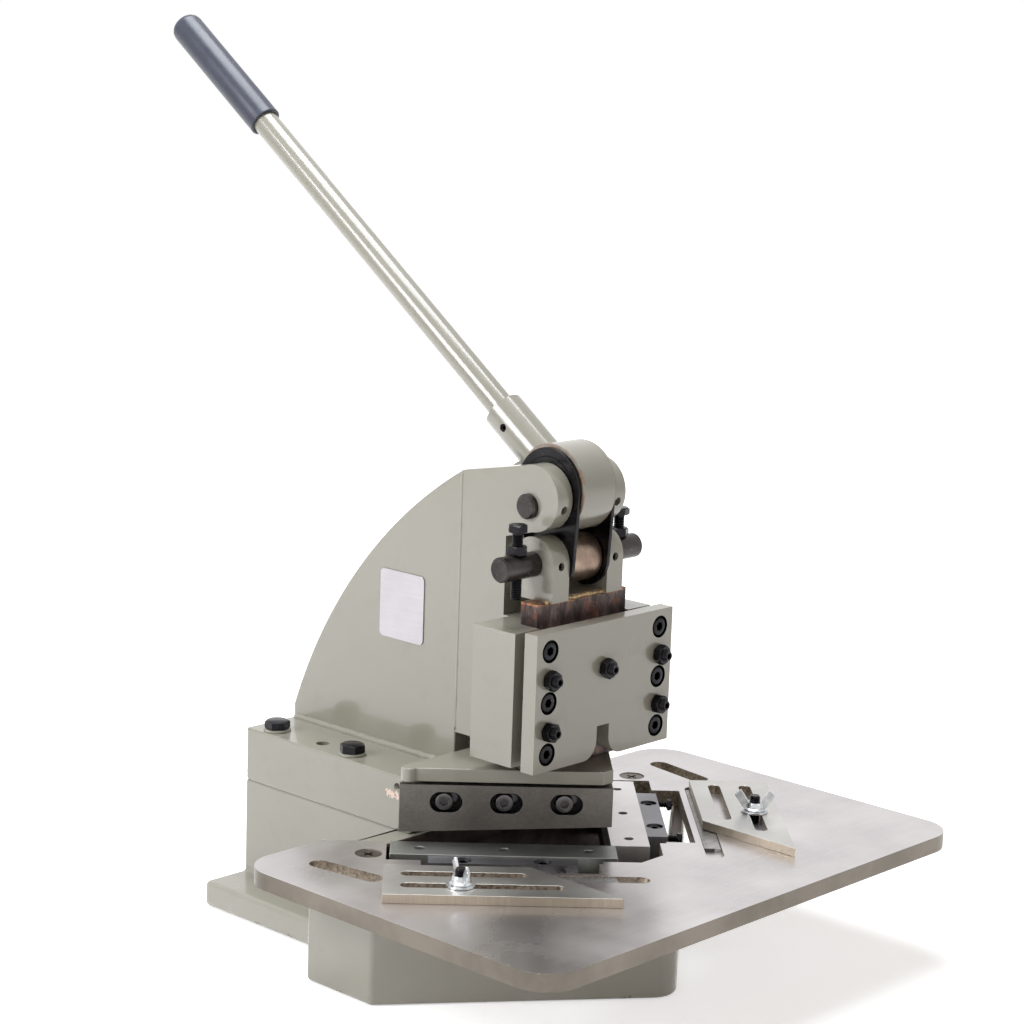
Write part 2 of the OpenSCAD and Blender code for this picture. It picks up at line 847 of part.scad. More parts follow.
// ---------- table ----------

// A square corner cut away outside the radius r, for the corner towards +X +Y
module corner_cut(r) {
    difference() {
        translate([-r, -r]) square(r + over);
        translate([-r, -r]) circle(r = r);
    }
}

module table_outline() {
    difference() {
        translate([-table_half_w, -table_front]) square([2 * table_half_w, table_front + table_rear_y]);
        for (side = sides) {
            on_side(side) translate([table_half_w, table_rear_y]) corner_cut(table_r);
            on_side(side) translate([table_half_w, -table_front]) mirror([0, 1]) corner_cut(table_r);
            on_side(side) translate([0, -apex_front]) rotate(-45) blade_pocket();
            on_side(side) translate([stop_slot_x, stop_slot_y]) rotate(-stop_slot_angle)
                stadium(stop_slot_length, stop_slot_w);
        }
        translate([0, -apex_front]) rotate(-45) nose_outline();
        // the open V behind the shear planes
        polygon([
            [0, -apex_front - over], [table_half_w, table_half_w - apex_front - over],
            [-table_half_w, table_half_w - apex_front - over]
        ]);
    }
}

// Blade pocket and window, in blade axes
module blade_pocket() {
    translate([-over, nose_pocket_start]) square([pocket_w + over, pocket_end - nose_pocket_start]);
    translate([pocket_w - over, window_start]) square([window_w - pocket_w + over, window_end - window_start]);
}

// The chamfered pocket round the point of the V, in the right side's blade axes
module nose_outline() {
    side = nose_pocket_start + over;
    cut = nose_pocket - nose_pocket_cut;
    polygon([
        [-side, side], [-side, -nose_pocket], [cut, -nose_pocket],
        [nose_pocket, -cut], [nose_pocket, side]
    ]);
}

module table() {
    color(steel) placed() difference() {
        translate([0, 0, table_z - table_t]) linear_extrude(table_t) table_outline();
        table_screw_places() {
            translate([0, 0, -table_t - over]) cylinder(r = m8_r + hole_slack, h = table_t + 2 * over);
            translate([0, 0, -table_screw_sink - table_screw_cone])
                cylinder(r1 = m8_r + cone_slack, r2 = table_screw_r + cone_slack, h = table_screw_cone);
            translate([0, 0, -table_screw_sink - fit])
                cylinder(r = table_screw_r + cone_slack, h = table_screw_sink + over);
        }
        for (side = sides) on_side(side) translate([0, -apex_front, table_z - groove_depth])
            rotate([0, 0, -45]) linear_extrude(groove_depth + over)
                translate([groove_p, groove_q]) stadium(groove_l - groove_w, groove_w);
        stud_places() translate([0, 0, -table_t - over]) cylinder(r = m8_r + fit, h = table_t + 2 * over);
    }
}

table_screw_r = 9.5;
table_screw_cone = 5.2;
table_screw_sink = 0.6;
cone_slack = 0.3;

module table_screws() {
    recess_l = 9;
    recess_w = 1.8;
    recess_depth = 2.5;
    color(zinc) placed() table_screw_places() difference() {
        union() {
            translate([0, 0, -table_screw_sink - table_screw_cone])
                cylinder(r1 = m8_r, r2 = table_screw_r, h = table_screw_cone);
            translate([0, 0, end_slack - table_screw_l])
                cylinder(r = m8_r, h = table_screw_l - end_slack - table_screw_sink - table_screw_cone);
        }
        for (a = [0, 90]) rotate([0, 0, a]) cube([recess_l, recess_w, 2 * recess_depth], center = true);
    }
}

module scale_strip(side) {
    strip_l = groove_end - strip_start - groove_w / 2;
    color(zinc) blade_side(side)
        translate([groove_p - strip_half_w, strip_start, -groove_depth])
            cube([2 * strip_half_w, strip_l, strip_t]);
}

// ---------- lower blades ----------

lower_thread = lower_t - 6;

module lower_blade(side) {
    start = side < 0 ? -lower_overrun : blade_gap;
    color(dark_steel) blade_side(side) difference() {
        translate([0, start, -lower_t]) cube([lower_w, lower_length - start, lower_t]);
        lower_hole_places() {
            translate([0, 0, -lower_t - over]) cylinder(r = m8_drill_r, h = lower_t + 2 * over);
            translate([0, 0, -lower_t - over]) cylinder(r = m8_r + fit, h = lower_thread + over);
        }
    }
}

module lower_blade_screws() {
    color(black) for (side = sides) blade_side(side) lower_hole_places()
        translate([0, 0, die_floor + m8_head]) rotate([180, 0, 0])
            cap_screw(m8_r, m8_head_r, m8_head, m8_key, seat_t - m8_head + lower_thread - end_slack);
}

module push_places() {
    for (s = sides)
        translate([lower_w, adj_mid + s * adj_push_pitch / 2, -adj_push_drop]) rotate([0, 90, 0]) children();
}

module adjusting_block(side) {
    color(dark_steel) blade_side(side) difference() {
        translate([lower_w, adj_start, -lower_t]) cube([adj_w, adj_length, lower_t + adj_top]);
        block_screw_places() {
            translate([0, 0, -lower_t - over]) cylinder(r = m6_r + hole_slack, h = lower_t + 2 * over);
            translate([0, 0, block_seat_z]) cylinder(r = block_head_r + head_slack, h = over - block_seat_z);
        }
        push_places() translate([0, 0, -over]) cylinder(r = m5_r + fit, h = adj_w + 2 * over);
    }
}

block_head_r = 5.8;
block_head = 6;
block_key = 5;
block_seat_z = adj_top - block_head - 1.2;

module block_screws() {
    color(black) for (side = sides) blade_side(side) block_screw_places() translate([0, 0, block_seat_z])
        cap_screw(m6_r, block_head_r, block_head, block_key, lower_t + block_seat_z + block_bite - end_slack);
}

module push_screws() {
    shank = adj_push_reach - m5_head - lower_w;
    color(black) for (side = sides) blade_side(side) push_places()
        translate([0, 0, shank]) hex_bolt(m5_r, m5_flats, m5_head, shank);
}

// ---------- fences ----------

function stud_q(side) = side < 0 ? stud_left_q : stud_right_q;
function fence_q(side) = side < 0 ? fence_left_q : fence_right_q;

module stud_place(side) {
    on_side(side) translate([0, -apex_front, table_z]) rotate([0, 0, -45])
        translate([stud_p, stud_q(side), 0]) children();
}

module stud_places() {
    for (side = sides) stud_place(side) children();
}

washer_r = 10;
washer_t = 1.6;
washer_z = fence_t + washer_gap;
wing_nut_z = washer_z + washer_t;
wing_hub_h = 6;
wing_hub_r = 8;
stud_end = 5;
stud_top = wing_nut_z + wing_hub_h + stud_end;

module fence_studs() {
    color(black) placed() stud_places() translate([0, 0, -table_t]) cylinder(r = m8_r, h = table_t + stud_top);
}

module fence(side) {
    slot_end = fence_l - fence_slot_margin;
    color(steel) blade_side(side) translate([fence_p, fence_q(side), 0]) linear_extrude(fence_t) difference() {
        polygon([[0, fence_w], [fence_w, 0], [fence_w, fence_l], [0, fence_l]]);
        translate([fence_slot1_p, slot_end - fence_slot1_l / 2])
            stadium(fence_slot1_l - fence_slot_w, fence_slot_w);
        translate([fence_slot2_p, slot_end - fence_slot2_l / 2])
            stadium(fence_slot2_l - fence_slot_w, fence_slot_w);
    }
}

module washer(side) {
    color(zinc) placed() stud_place(side) translate([0, 0, washer_z]) difference() {
        cylinder(r = washer_r, h = washer_t);
        translate([0, 0, -over]) cylinder(r = m8_r + fit, h = washer_t + 2 * over);
    }
}

// Wing nut: a domed hub with two slanted plate wings
module wing_nut(side) {
    wing_t = 2;
    collar_h = 1.2;
    root_x = 4.5;
    root_z = 7;
    foot_x = 7.8;
    low_tip = [15, 11];
    high_tip = [10.2, 15.4];
    turn = side < 0 ? -20 : -1.6;
    color(zinc) placed() stud_place(side) translate([0, 0, wing_nut_z]) rotate([0, 0, turn]) difference() {
        union() {
            cylinder(r = wing_hub_r, h = collar_h);
            cylinder(r1 = wing_hub_r - 1.4, r2 = wing_hub_r - 2.4, h = wing_hub_h);
            for (s = sides) translate([0, wing_t / 2, 0]) facing_front() linear_extrude(wing_t) polygon([
                [s * root_x, collar_h / 2], [s * foot_x, collar_h / 2], [s * low_tip[0], low_tip[1]],
                [s * high_tip[0], high_tip[1]], [s * (root_x + 0.6), root_z], [s * root_x, wing_hub_h / 2]
            ]);
        }
        translate([0, 0, -over]) cylinder(r = m8_r + fit, h = high_tip[1] + 2 * over);
    }
}

// ---------- ram ----------

module ram_plate() {
    color(burnt_steel) placed() translate([-ram_half_w, ram_y, ram_foot_top])
        cube([2 * ram_half_w, ram_t, ram_top_z - ram_foot_top]);
}

module ram_clevis() {
    color(paint) placed() difference() {
        union() {
            for (side = sides) on_side(side) across(clevis_in, clevis_in + clevis_t) {
                translate(shaft) circle(r = clevis_r);
                translate([shaft[0] - clevis_r, ram_top_z]) square([2 * clevis_r, shaft[1] - ram_top_z]);
            }
            translate([-clevis_in - over, ram_y, ram_top_z])
                cube([2 * clevis_in + 2 * over, shaft[0] + clevis_r - ram_y, clevis_web]);
        }
        translate([-clevis_in - clevis_t - over, shaft[0], shaft[1]]) rotate([0, 90, 0])
            cylinder(r = shaft_r + fit, h = 2 * (clevis_in + clevis_t + over));
        for (side = sides) translate([side * (clevis_in + clevis_t / 2), shaft[0], shaft[1]])
            facing_front() cylinder(r = m6_r + fit, h = clevis_r + over);
    }
}

module lower_shaft() {
    color(black) placed() difference() {
        translate([-shaft_half_l, shaft[0], shaft[1]]) rotate([0, 90, 0])
            cylinder(r = shaft_r, h = 2 * shaft_half_l);
        for (side = sides) translate([side * stop_x, shaft[0], shaft[1] - shaft_r - over])
            cylinder(r = m8_r + fit, h = 2 * (shaft_r + over));
    }
}

module shaft_grub_screws() {
    grub_l = 8;
    color(black) placed() for (side = sides)
        translate([side * (clevis_in + clevis_t / 2), shaft[0] - shaft_r - fit - grub_l, shaft[1]])
            facing_front() grub_screw(m6_r, m6_key, grub_l);
}

stop_end_z = guide_top_z + stroke + stop_room;
stop_head = 5.5;

module stop_bolts() {
    color(black) placed() for (side = sides) translate([side * stop_x, shaft[0], stop_end_z + stop_l])
        hex_bolt(m8_r, m8_flats, stop_head, stop_l);
}

module stop_nuts() {
    color(black) placed() for (side = sides)
        translate([side * stop_x, shaft[0], shaft[1] + shaft_r]) difference() {
            hex_prism(m8_flats, m8_nut);
            translate([0, 0, -over]) cylinder(r = m8_r + fit, h = m8_nut + 2 * over);
        }
}

// Plan of the foot: both front faces lie on the shear planes
module ram_foot() {
    tip = 7;
    end_r = 6;
    tip_x = tip * sin(45);
    reach_x = (blade_length - 1.4) * sin(45);
    side_x = min(reach_x, foot_rear_y + apex_front) - end_r;
    rear = foot_rear_y + apex_front + blade_gap;
    color(paint) placed() translate([0, -apex_front - blade_gap, ram_foot_z]) linear_extrude(foot_t) {
        polygon([
            [-tip_x, tip_x], [tip_x, tip_x], [side_x, side_x], [side_x, rear], [-side_x, rear], [-side_x, side_x]
        ]);
        for (s = sides) translate([s * side_x, rear - end_r]) circle(r = end_r);
    }
}

punch_bottom = 12;

module punch_block() {
    front_y = (blade_t + blade_gap) / sin(45) - apex_front;
    rear_y = foot_rear_y - 3;
    half_w = rear_y - front_y;
    color(dark_steel) placed() difference() {
        translate([0, 0, table_z + punch_bottom]) linear_extrude(ram_foot_z - table_z - punch_bottom)
            polygon([[0, front_y], [half_w, rear_y], [-half_w, rear_y]]);
        for (side = sides) on_side(side) translate([0, -apex_front, table_z]) rotate([0, 0, -45])
            upper_screw_places() translate([0, 0, -upper_screw_l - over])
                cylinder(r = m8_r + fit, h = upper_screw_l + over);
    }
}

slot_depth = 9;
upper_screw_bite = 14;
upper_screw_l = blade_t - slot_depth + upper_screw_bite;
upper_head_r = 6.3;
upper_head = 8;

// Screw seats in the upper blades, facing outward
module upper_screw_places() {
    shift = 1.5;
    for (i = [0:2]) translate([-blade_gap - slot_depth, slot_start + i * slot_pitch + shift, slot_z])
        rotate([0, 90, 0]) children();
}

module upper_slot(w, l, depth) {
    translate([-blade_gap - depth, 0, slot_z]) rotate([0, 90, 0]) linear_extrude(depth + over)
        stadium(l - w, w);
}

module upper_blade(side) {
    clip_x = foot_rear_y + 2 * (blade_t + apex_front);
    color(dark_steel) intersection() {
        blade_side(side) difference() {
            translate([-blade_gap, 0, 0]) rotate([0, -90, 0]) linear_extrude(blade_t) polygon([
                [edge_point, 0], [blade_top, 0], [blade_top, blade_length], [edge_outer, blade_length]
            ]);
            for (i = [0:2]) translate([0, slot_start + i * slot_pitch, 0]) {
                upper_slot(slot_w, slot_l, slot_depth);
                upper_slot(2 * screw_clear_r, slot_l - slot_w + 2 * screw_clear_r, blade_t + over);
            }
        }
        placed() translate([0, 0, table_z]) linear_extrude(blade_top + over) polygon([
            [side * blade_gap, -apex_front - over], [side * blade_gap, foot_rear_y],
            [side * clip_x, foot_rear_y], [side * clip_x, -apex_front - over]
        ]);
    }
}

module upper_blade_screws() {
    color(black) for (side = sides) blade_side(side) upper_screw_places()
        cap_screw(m8_r, upper_head_r, upper_head, m8_key, upper_screw_l);
}

// ---------- lever ----------

// Runs +Z along the handle, from the eccentric's centre
module along_handle() {
    placed() translate([0, hub[0], hub[1]]) rotate([handle_angle - 90, 0, 0]) children();
}

socket_depth = 45;
link_gap = 0.2;

module lever_hub() {
    color(paint) difference() {
        union() {
            placed() translate([0, hub[0], hub[1]]) rotate([0, 90, 0]) {
                cylinder(r = barrel_r, h = 2 * barrel_half_w, center = true);
                cylinder(r = journal_r, h = 2 * (barrel_half_w + link_gap + link_t + link_gap), center = true);
            }
            along_handle() cylinder(r = socket_r, h = socket_l);
        }
        along_handle() translate([0, 0, socket_l - socket_depth])
            cylinder(r = rod_r + fit, h = socket_depth + over);
        placed() translate([-plate_out, pin[0], pin[1]]) rotate([0, 90, 0])
            cylinder(r = pin_r + fit, h = 2 * plate_out);
        along_handle() translate([0, 0, socket_grub]) rotate([0, -90, 0])
            cylinder(r = m6_r + fit, h = socket_r + over);
    }
}

socket_grub_back = 17;
socket_grub = socket_l - socket_grub_back;

grip_end = 8; // closed end of the grip, past the rod

module handle_rod() {
    start = socket_l - socket_depth;
    color(paint) along_handle() translate([0, 0, start])
        cylinder(r = rod_r, h = grip_start + grip_l - grip_end - start);
}

module grip() {
    round_r = 5;
    color(black) along_handle() translate([0, 0, grip_start]) rotate_extrude($fn = 64) difference() {
        union() {
            square([grip_r, grip_l - round_r]);
            translate([0, grip_l - round_r]) square([grip_r - round_r, round_r]);
            translate([grip_r - round_r, grip_l - round_r]) intersection() {
                circle(r = round_r);
                square(round_r);
            }
        }
        translate([0, -over]) square([rod_r + fit, grip_l - grip_end + over + fit]);
    }
}

module socket_grub_screw() {
    grub_l = 4;
    color(black) along_handle() translate([-rod_r - fit - grub_l, 0, socket_grub]) rotate([0, -90, 0])
        grub_screw(m6_r, m6_key, grub_l);
}

module link(side) {
    inner = barrel_half_w + link_gap;
    color(black) placed() on_side(side) difference() {
        union() {
            across(inner, inner + link_t) translate(hub) circle(r = link_top_r);
            across(inner, inner + link_t) translate(shaft) circle(r = link_low_r);
            across(inner, inner + link_t) link_sides(hub, link_top_r, shaft, link_low_r);
        }
        translate([inner - over, hub[0], hub[1]]) rotate([0, 90, 0])
            cylinder(r = journal_r + fit, h = link_t + 2 * over);
        translate([inner - over, shaft[0], shaft[1]]) rotate([0, 90, 0])
            cylinder(r = shaft_r + link_free, h = link_t + 2 * over);
    }
}

module bronze_roller() {
    color(bronze) placed() translate([0, shaft[0], shaft[1]]) rotate([0, 90, 0]) difference() {
        cylinder(r = roller_r, h = 2 * barrel_half_w, center = true);
        cylinder(r = shaft_r + fit, h = 2 * (barrel_half_w + over), center = true);
    }
}

base_casting();
foot_slab();
base_bolts();
base_washers();
jack_screws();
rib_plate(-1);  // rib_plate_left
rib_plate(1);  // rib_plate_right
head_plate(-1);  // head_plate_left
head_plate(1);  // head_plate_right
rib_spacers();
lever_stop_bar();
guide_block();
front_plate();
front_plate_screws();
gib_plate();
gib_jack_screws();
lock_nuts();
upper_pin();
pin_grub_screws();
blank_plate();
table();
table_screws();
lower_blade(-1);  // lower_blade_left
lower_blade(1);  // lower_blade_right
lower_blade_screws();
adjusting_block(-1);  // adjusting_block_left
adjusting_block(1);  // adjusting_block_right
block_screws();
push_screws();
scale_strip(-1);  // scale_strip_left
scale_strip(1);  // scale_strip_right
fence_studs();
ram_plate();
ram_clevis();
lower_shaft();
shaft_grub_screws();
stop_bolts();
stop_nuts();
ram_foot();
punch_block();
upper_blade(-1);  // upper_blade_left
upper_blade(1);  // upper_blade_right
upper_blade_screws();
lever_hub();
handle_rod();
grip();
socket_grub_screw();
link(-1);  // link_left
link(1);  // link_right
bronze_roller();
fence(-1);  // fence_left
fence(1);  // fence_right
washer(-1);  // washer_left
washer(1);  // washer_right
wing_nut(-1);  // wing_nut_left
wing_nut(1);  // wing_nut_right
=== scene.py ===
import json
import math
import bpy
import bmesh
from mathutils import Matrix, Vector


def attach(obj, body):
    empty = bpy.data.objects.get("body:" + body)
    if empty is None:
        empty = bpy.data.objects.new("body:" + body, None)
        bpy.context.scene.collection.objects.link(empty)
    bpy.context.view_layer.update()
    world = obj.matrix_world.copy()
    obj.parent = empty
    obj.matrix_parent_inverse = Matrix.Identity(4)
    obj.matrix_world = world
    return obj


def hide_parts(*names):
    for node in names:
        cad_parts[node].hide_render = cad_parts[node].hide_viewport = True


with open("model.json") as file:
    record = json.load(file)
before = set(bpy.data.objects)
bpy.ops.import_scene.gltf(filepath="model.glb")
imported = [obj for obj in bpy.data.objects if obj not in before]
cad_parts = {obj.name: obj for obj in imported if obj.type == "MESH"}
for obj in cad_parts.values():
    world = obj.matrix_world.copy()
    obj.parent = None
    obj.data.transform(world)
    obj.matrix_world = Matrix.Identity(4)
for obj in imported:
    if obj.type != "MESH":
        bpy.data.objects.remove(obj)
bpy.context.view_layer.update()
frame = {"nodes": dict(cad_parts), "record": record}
behaviour = frame["record"]["behaviour"]
bodyOf = {node: body for body, nodes in behaviour["bodies"].items() for node in nodes}
print("frame loaded:", len(bodyOf), "nodes")

# places are typed in millimetres from the front plate's face and the table's top
plateBack = 205       # from that face to the frame's origin, front to back
tableUp = 96          # from the bench to that top
pointFront = 12.3     # how far the point of the cut lies in front of that face
half = math.sqrt(0.5)
sides = ((-1, "Left"), (1, "Right"))
front, up, left = Vector((0, -1, 0)), Vector((0, 0, 1)), Vector((-1, 0, 0))

# places that several pieces share
pinY, pinZ = 46, 242.7
shaftY, shaftZ = 39, 202.5
plateScrews = {"across": 58.7, "lowest": 76, "pitch": 37}
studOut, studAlong = 111, {-1: 109, 1: 67}


def spot(x, y, z):
    return Vector((x, y - plateBack, z + tableUp)) / 1000

# a place beside a blade: p outward from the cut, q along it from the point
def bladeSpot(side, p, q, z):
    return spot(side * (p + q) * half, (q - p) * half - pointFront, z)

# the same p and q back from a place
def bladePlace(side, x, y):
    return (side * x - y - pointFront) * half, (side * x + y + pointFront) * half

def outward(side):
    return Vector((side * half, -half, 0))

# a frame whose Z runs along a direction
def facing(place, direction, roll=0):
    turn = direction.to_track_quat("Z", "Y").to_matrix().to_4x4()
    return Matrix.Translation(place) @ turn @ Matrix.Rotation(math.radians(roll), 4, "Z")


# a shader socket that can be reckoned with like a number
class Wire:
    def __init__(self, tree, socket):
        self.tree, self.socket = tree, socket

    def math(self, operation, other=None, swap=False):
        node = self.tree.nodes.new("ShaderNodeMath")
        node.operation = operation
        values = [self] if other is None else [other, self] if swap else [self, other]
        for place, value in enumerate(values):
            plug(self.tree, node.inputs[place], value)
        return Wire(self.tree, node.outputs[0])

    def __add__(self, other): return self.math("ADD", other)
    def __radd__(self, other): return self.math("ADD", other)
    def __sub__(self, other): return self.math("SUBTRACT", other)
    def __rsub__(self, other): return self.math("SUBTRACT", other, True)
    def __mul__(self, other): return self.math("MULTIPLY", other)
    def __rmul__(self, other): return self.math("MULTIPLY", other)
    def __truediv__(self, other): return self.math("DIVIDE", other)


def plug(tree, target, value):
    if isinstance(value, Wire):
        tree.links.new(value.socket, target)
    else:
        target.default_value = value


def linear(r, g, b):    # a screen colour, 0 to 255, as the renderer counts it
    def one(c):
        c /= 255
        return c / 12.92 if c < 0.04045 else ((c + 0.055) / 1.055) ** 2.4
    return (one(r), one(g), one(b), 1)


class Finish:
    def __init__(self, name):
        self.material = bpy.data.materials.new(name)
        self.material.use_nodes = True
        self.tree = self.material.node_tree
        self.shader = self.tree.nodes["Principled BSDF"]
        self.place = self.add("ShaderNodeTexCoord", out="Object")

    def add(self, kind, out=0, stops=None, inputs=None, **settings):
        node = self.tree.nodes.new(kind)
        for key, value in settings.items():
            setattr(node, key, value)
        if stops:
            ramp = node.color_ramp
            while len(ramp.elements) < len(stops):
                ramp.elements.new(0.5)
            for element, (position, colour) in zip(ramp.elements, stops):
                element.position, element.color = position, colour
        for key, value in (inputs or {}).items():
            plug(self.tree, node.inputs[key], value)
        return Wire(self.tree, node.outputs[out])

    def scaled(self, scale, turn=0):
        return self.add("ShaderNodeMapping", inputs={
            "Vector": self.place, "Scale": scale, "Rotation": (0, 0, math.radians(turn))})

    def noise(self, scale, detail=3, rough=0.5, place=None, twist=0):
        return self.add("ShaderNodeTexNoise", inputs={
            "Vector": place or self.place, "Scale": scale, "Detail": detail,
            "Roughness": rough, "Distortion": twist})

    def along(self, axis, turn=0):
        split = self.tree.nodes.new("ShaderNodeSeparateXYZ")
        plug(self.tree, split.inputs[0], self.scaled((1, 1, 1), turn))
        return Wire(self.tree, split.outputs[axis])

    def between(self, value, low, high, to=(0, 1)):
        return self.add("ShaderNodeMapRange", inputs={
            "Value": value, "From Min": low, "From Max": high, "To Min": to[0], "To Max": to[1]})

    def ramp(self, value, stops):
        return self.add("ShaderNodeValToRGB", stops=stops, inputs={"Fac": value})

    def blend(self, mask, first, second):
        return mixed(self.tree, mask, first, second)

    def bump(self, height, depth, strength=1.0, under=None):
        inputs = {"Height": height, "Distance": depth, "Strength": strength}
        if under is not None:
            inputs["Normal"] = under
        return self.add("ShaderNodeBump", inputs=inputs)

    def surface(self, **sockets):
        for key, value in sockets.items():
            plug(self.tree, self.shader.inputs[key.replace("_", " ")], value)
        return self.material


def mixed(tree, mask, first, second):    # a mix of two colours
    node = tree.nodes.new("ShaderNodeMix")
    node.data_type = "RGBA"
    for socket, value in ((0, mask), (6, first), (7, second)):
        plug(tree, node.inputs[socket], value)
    return Wire(tree, node.outputs[2])

# 1 on rays of these kinds, so that metal shows the white room too
def seenBy(tree, *kinds):
    paths = tree.nodes.new("ShaderNodeLightPath")
    seen = Wire(tree, paths.outputs[kinds[0]])
    for kind in kinds[1:]:
        seen = seen.math("MAXIMUM", Wire(tree, paths.outputs[kind]))
    return seen


def paintFinish(name, chips=0.0, flake=None, rim=None, dents=0.001):
    make = Finish(name)
    patches = make.noise(7, 2, 0.5)
    colour = make.ramp(patches, [(0.3, linear(146, 143, 131)), (0.7, linear(152, 149, 138))])
    grime = make.between(make.noise(60, 3, 0.6), 0.55, 0.9)
    colour = make.blend(grime * 0.2, colour, linear(126, 120, 104))
    roughness = make.between(patches, 0.3, 0.7, (0.22, 0.28))
    if chips:    # chipped near the bench
        low = 1 - make.between(make.along(2), 0.0, 0.007)
        chipped = make.between(make.noise(110, 4, 0.65) + low * 0.13, 0.72, 0.735)
        colour = make.blend(chipped * chips, colour, linear(88, 62, 50))
        roughness = roughness + chipped * 0.3
    if flake:    # a spot where the paint has come away to the primer
        ragged = make.noise(260, 4, 0.6)
        inside = make.between(ragged, 0.3, 0.7, (-0.0025, 0.0025))
        for axis, (low, high) in enumerate(flake):
            here = make.along(axis) + inside
            over = here.math("GREATER_THAN", low) * here.math("LESS_THAN", high)
            mask = over if axis == 0 else mask * over
        colour = make.blend(mask, colour, linear(226, 196, 180))
    if rim:    # the edges where the links have rubbed through to copper brown
        beside = make.along(0).math("ABSOLUTE")
        rubbed = make.between(beside, rim - 0.0011, rim - 0.0005)
        rubbed = rubbed * beside.math("LESS_THAN", rim + 0.0004)
        rubbed = rubbed * make.between(make.noise(90, 4), 0.42, 0.55)
        colour = make.blend(rubbed * 0.7, colour, linear(142, 106, 86))
    peel = make.noise(170, 2, 0.5)
    waves = make.noise(26, 2, 0.5)
    normal = make.bump(waves, dents, 0.3)
    normal = make.bump(peel, dents * 0.06, 0.4, normal)
    return make.surface(Base_Color=colour, Roughness=roughness, Normal=normal,
                        Coat_Weight=0.6, Coat_Roughness=0.07)


# bare steel with the fine lines of a surface grinder
def groundFinish(name, light, dark, roughness, turn=0, spots=0.0, lines=(24, 600, 600)):
    make = Finish(name)
    grain = make.noise(1, 3, 0.6, make.scaled(lines, turn))
    clouds = make.noise(14, 4, 0.55)
    shade = grain * 0.25 + clouds * 0.75
    colour = make.ramp(shade, [(0.38, linear(*dark)), (0.62, linear(*light))])
    rough = make.between(clouds, 0.35, 0.65, (roughness - 0.03, roughness + 0.04))
    if spots:
        rust = make.between(make.noise(95, 5, 0.7), 0.64, 0.72)
        rust = rust * make.between(clouds, 0.45, 0.62)
        colour = make.blend(rust * spots, colour, linear(104, 72, 52))
        rough = rough + rust * 0.25 * spots
    return make.surface(Base_Color=colour, Metallic=1.0, Roughness=rough,
                        Normal=make.bump(grain, 0.00001, 0.5))


# sawn walls and gold weld: brown, with fine grain
def sawnFinish(name, light, dark):
    make = Finish(name)
    grit = make.noise(420, 4, 0.7)
    colour = make.ramp(grit, [(0.36, linear(*dark)), (0.62, linear(*light))])
    return make.surface(Base_Color=colour, Metallic=0.7,
                        Roughness=make.between(grit, 0.3, 0.7, (0.38, 0.55)),
                        Normal=make.bump(grit, 0.0002, 0.6))


def blackFinish(name, light=(38, 36, 40), dark=(10, 9, 12), worn=0.28, roughness=0.24):
    make = Finish(name)
    film = make.noise(60, 5, 0.6)
    colour = make.ramp(film, [(0.3, linear(*dark)), (0.75, linear(*light))])
    rubbed = make.between(make.noise(230, 4, 0.7), 0.62, 0.74)
    colour = make.blend(rubbed * worn, colour, linear(112, 108, 104))
    rough = make.between(film, 0.3, 0.7, (roughness - 0.08, roughness + 0.1))
    return make.surface(Base_Color=colour, Metallic=0.75, Roughness=rough,
                        Normal=make.bump(film, 0.0001, 0.3))


def zincFinish(name):
    make = Finish(name)
    film = make.noise(140, 4, 0.6, twist=0.5)
    colour = make.ramp(film, [(0.3, linear(176, 180, 184)), (0.7, linear(222, 224, 224))])
    return make.surface(Base_Color=colour, Metallic=1.0,
                        Roughness=make.between(film, 0.3, 0.7, (0.2, 0.38)),
                        Normal=make.bump(make.noise(420, 2), 0.00008, 0.4))


# bearing bronze, turned: rings round the lower shaft
def bronzeFinish(name):
    make = Finish(name)
    rings = make.noise(1, 4, 0.6, make.scaled((900, 6, 6)))
    stain = make.noise(60, 4, 0.6)
    colour = make.ramp(stain, [(0.3, linear(112, 94, 82)), (0.7, linear(160, 140, 124))])
    colour = make.blend(make.between(rings, 0.55, 0.75) * 0.5, colour, linear(92, 72, 60))
    return make.surface(Base_Color=colour, Metallic=1.0,
                        Roughness=make.between(rings, 0.3, 0.7, (0.24, 0.42)),
                        Normal=make.bump(rings, 0.00008, 0.7))


# hot rolled ram: brown scale with rust, a rubbed ring and heat colours at the weld
rubbedRing = {"x": 0.0095, "z": 0.2560, "radius": 0.0115, "ripples": 2400}
weldHeat = (0.2725, 0.2745)    # the heights where the heat colours start and are full

def ramFinish(name):
    make = Finish(name)
    scale = make.noise(1, 5, 0.7, make.scaled((110, 110, 40)))
    colour = make.ramp(scale, [(0.36, linear(46, 40, 40)), (0.50, linear(80, 68, 66)),
                               (0.64, linear(122, 106, 100))])
    rust = make.between(make.noise(120, 4, 0.65, twist=0.4), 0.56, 0.66)
    colour = make.blend(rust * 0.6, colour, linear(126, 70, 52))
    aside, height = make.along(0) - rubbedRing["x"], make.along(2)
    above = height - rubbedRing["z"]
    distance = (aside * aside + above * above).math("SQRT")
    rings = make.between((distance * rubbedRing["ripples"]).math("SINE"), 0.2, 0.9)
    rings = rings * distance.math("LESS_THAN", rubbedRing["radius"])
    colour = make.blend(rings * 0.45, colour, linear(140, 78, 62))
    hot = make.between(height + scale * 0.004, *weldHeat)
    hot = hot * make.between(rust + scale, 0.3, 0.8)
    colour = make.blend(hot * 0.8, colour, linear(200, 140, 96))
    return make.surface(Base_Color=colour, Metallic=0.7,
                        Roughness=make.between(scale, 0.3, 0.7, (0.3, 0.5)),
                        Normal=make.bump(scale, 0.0002, 0.6))


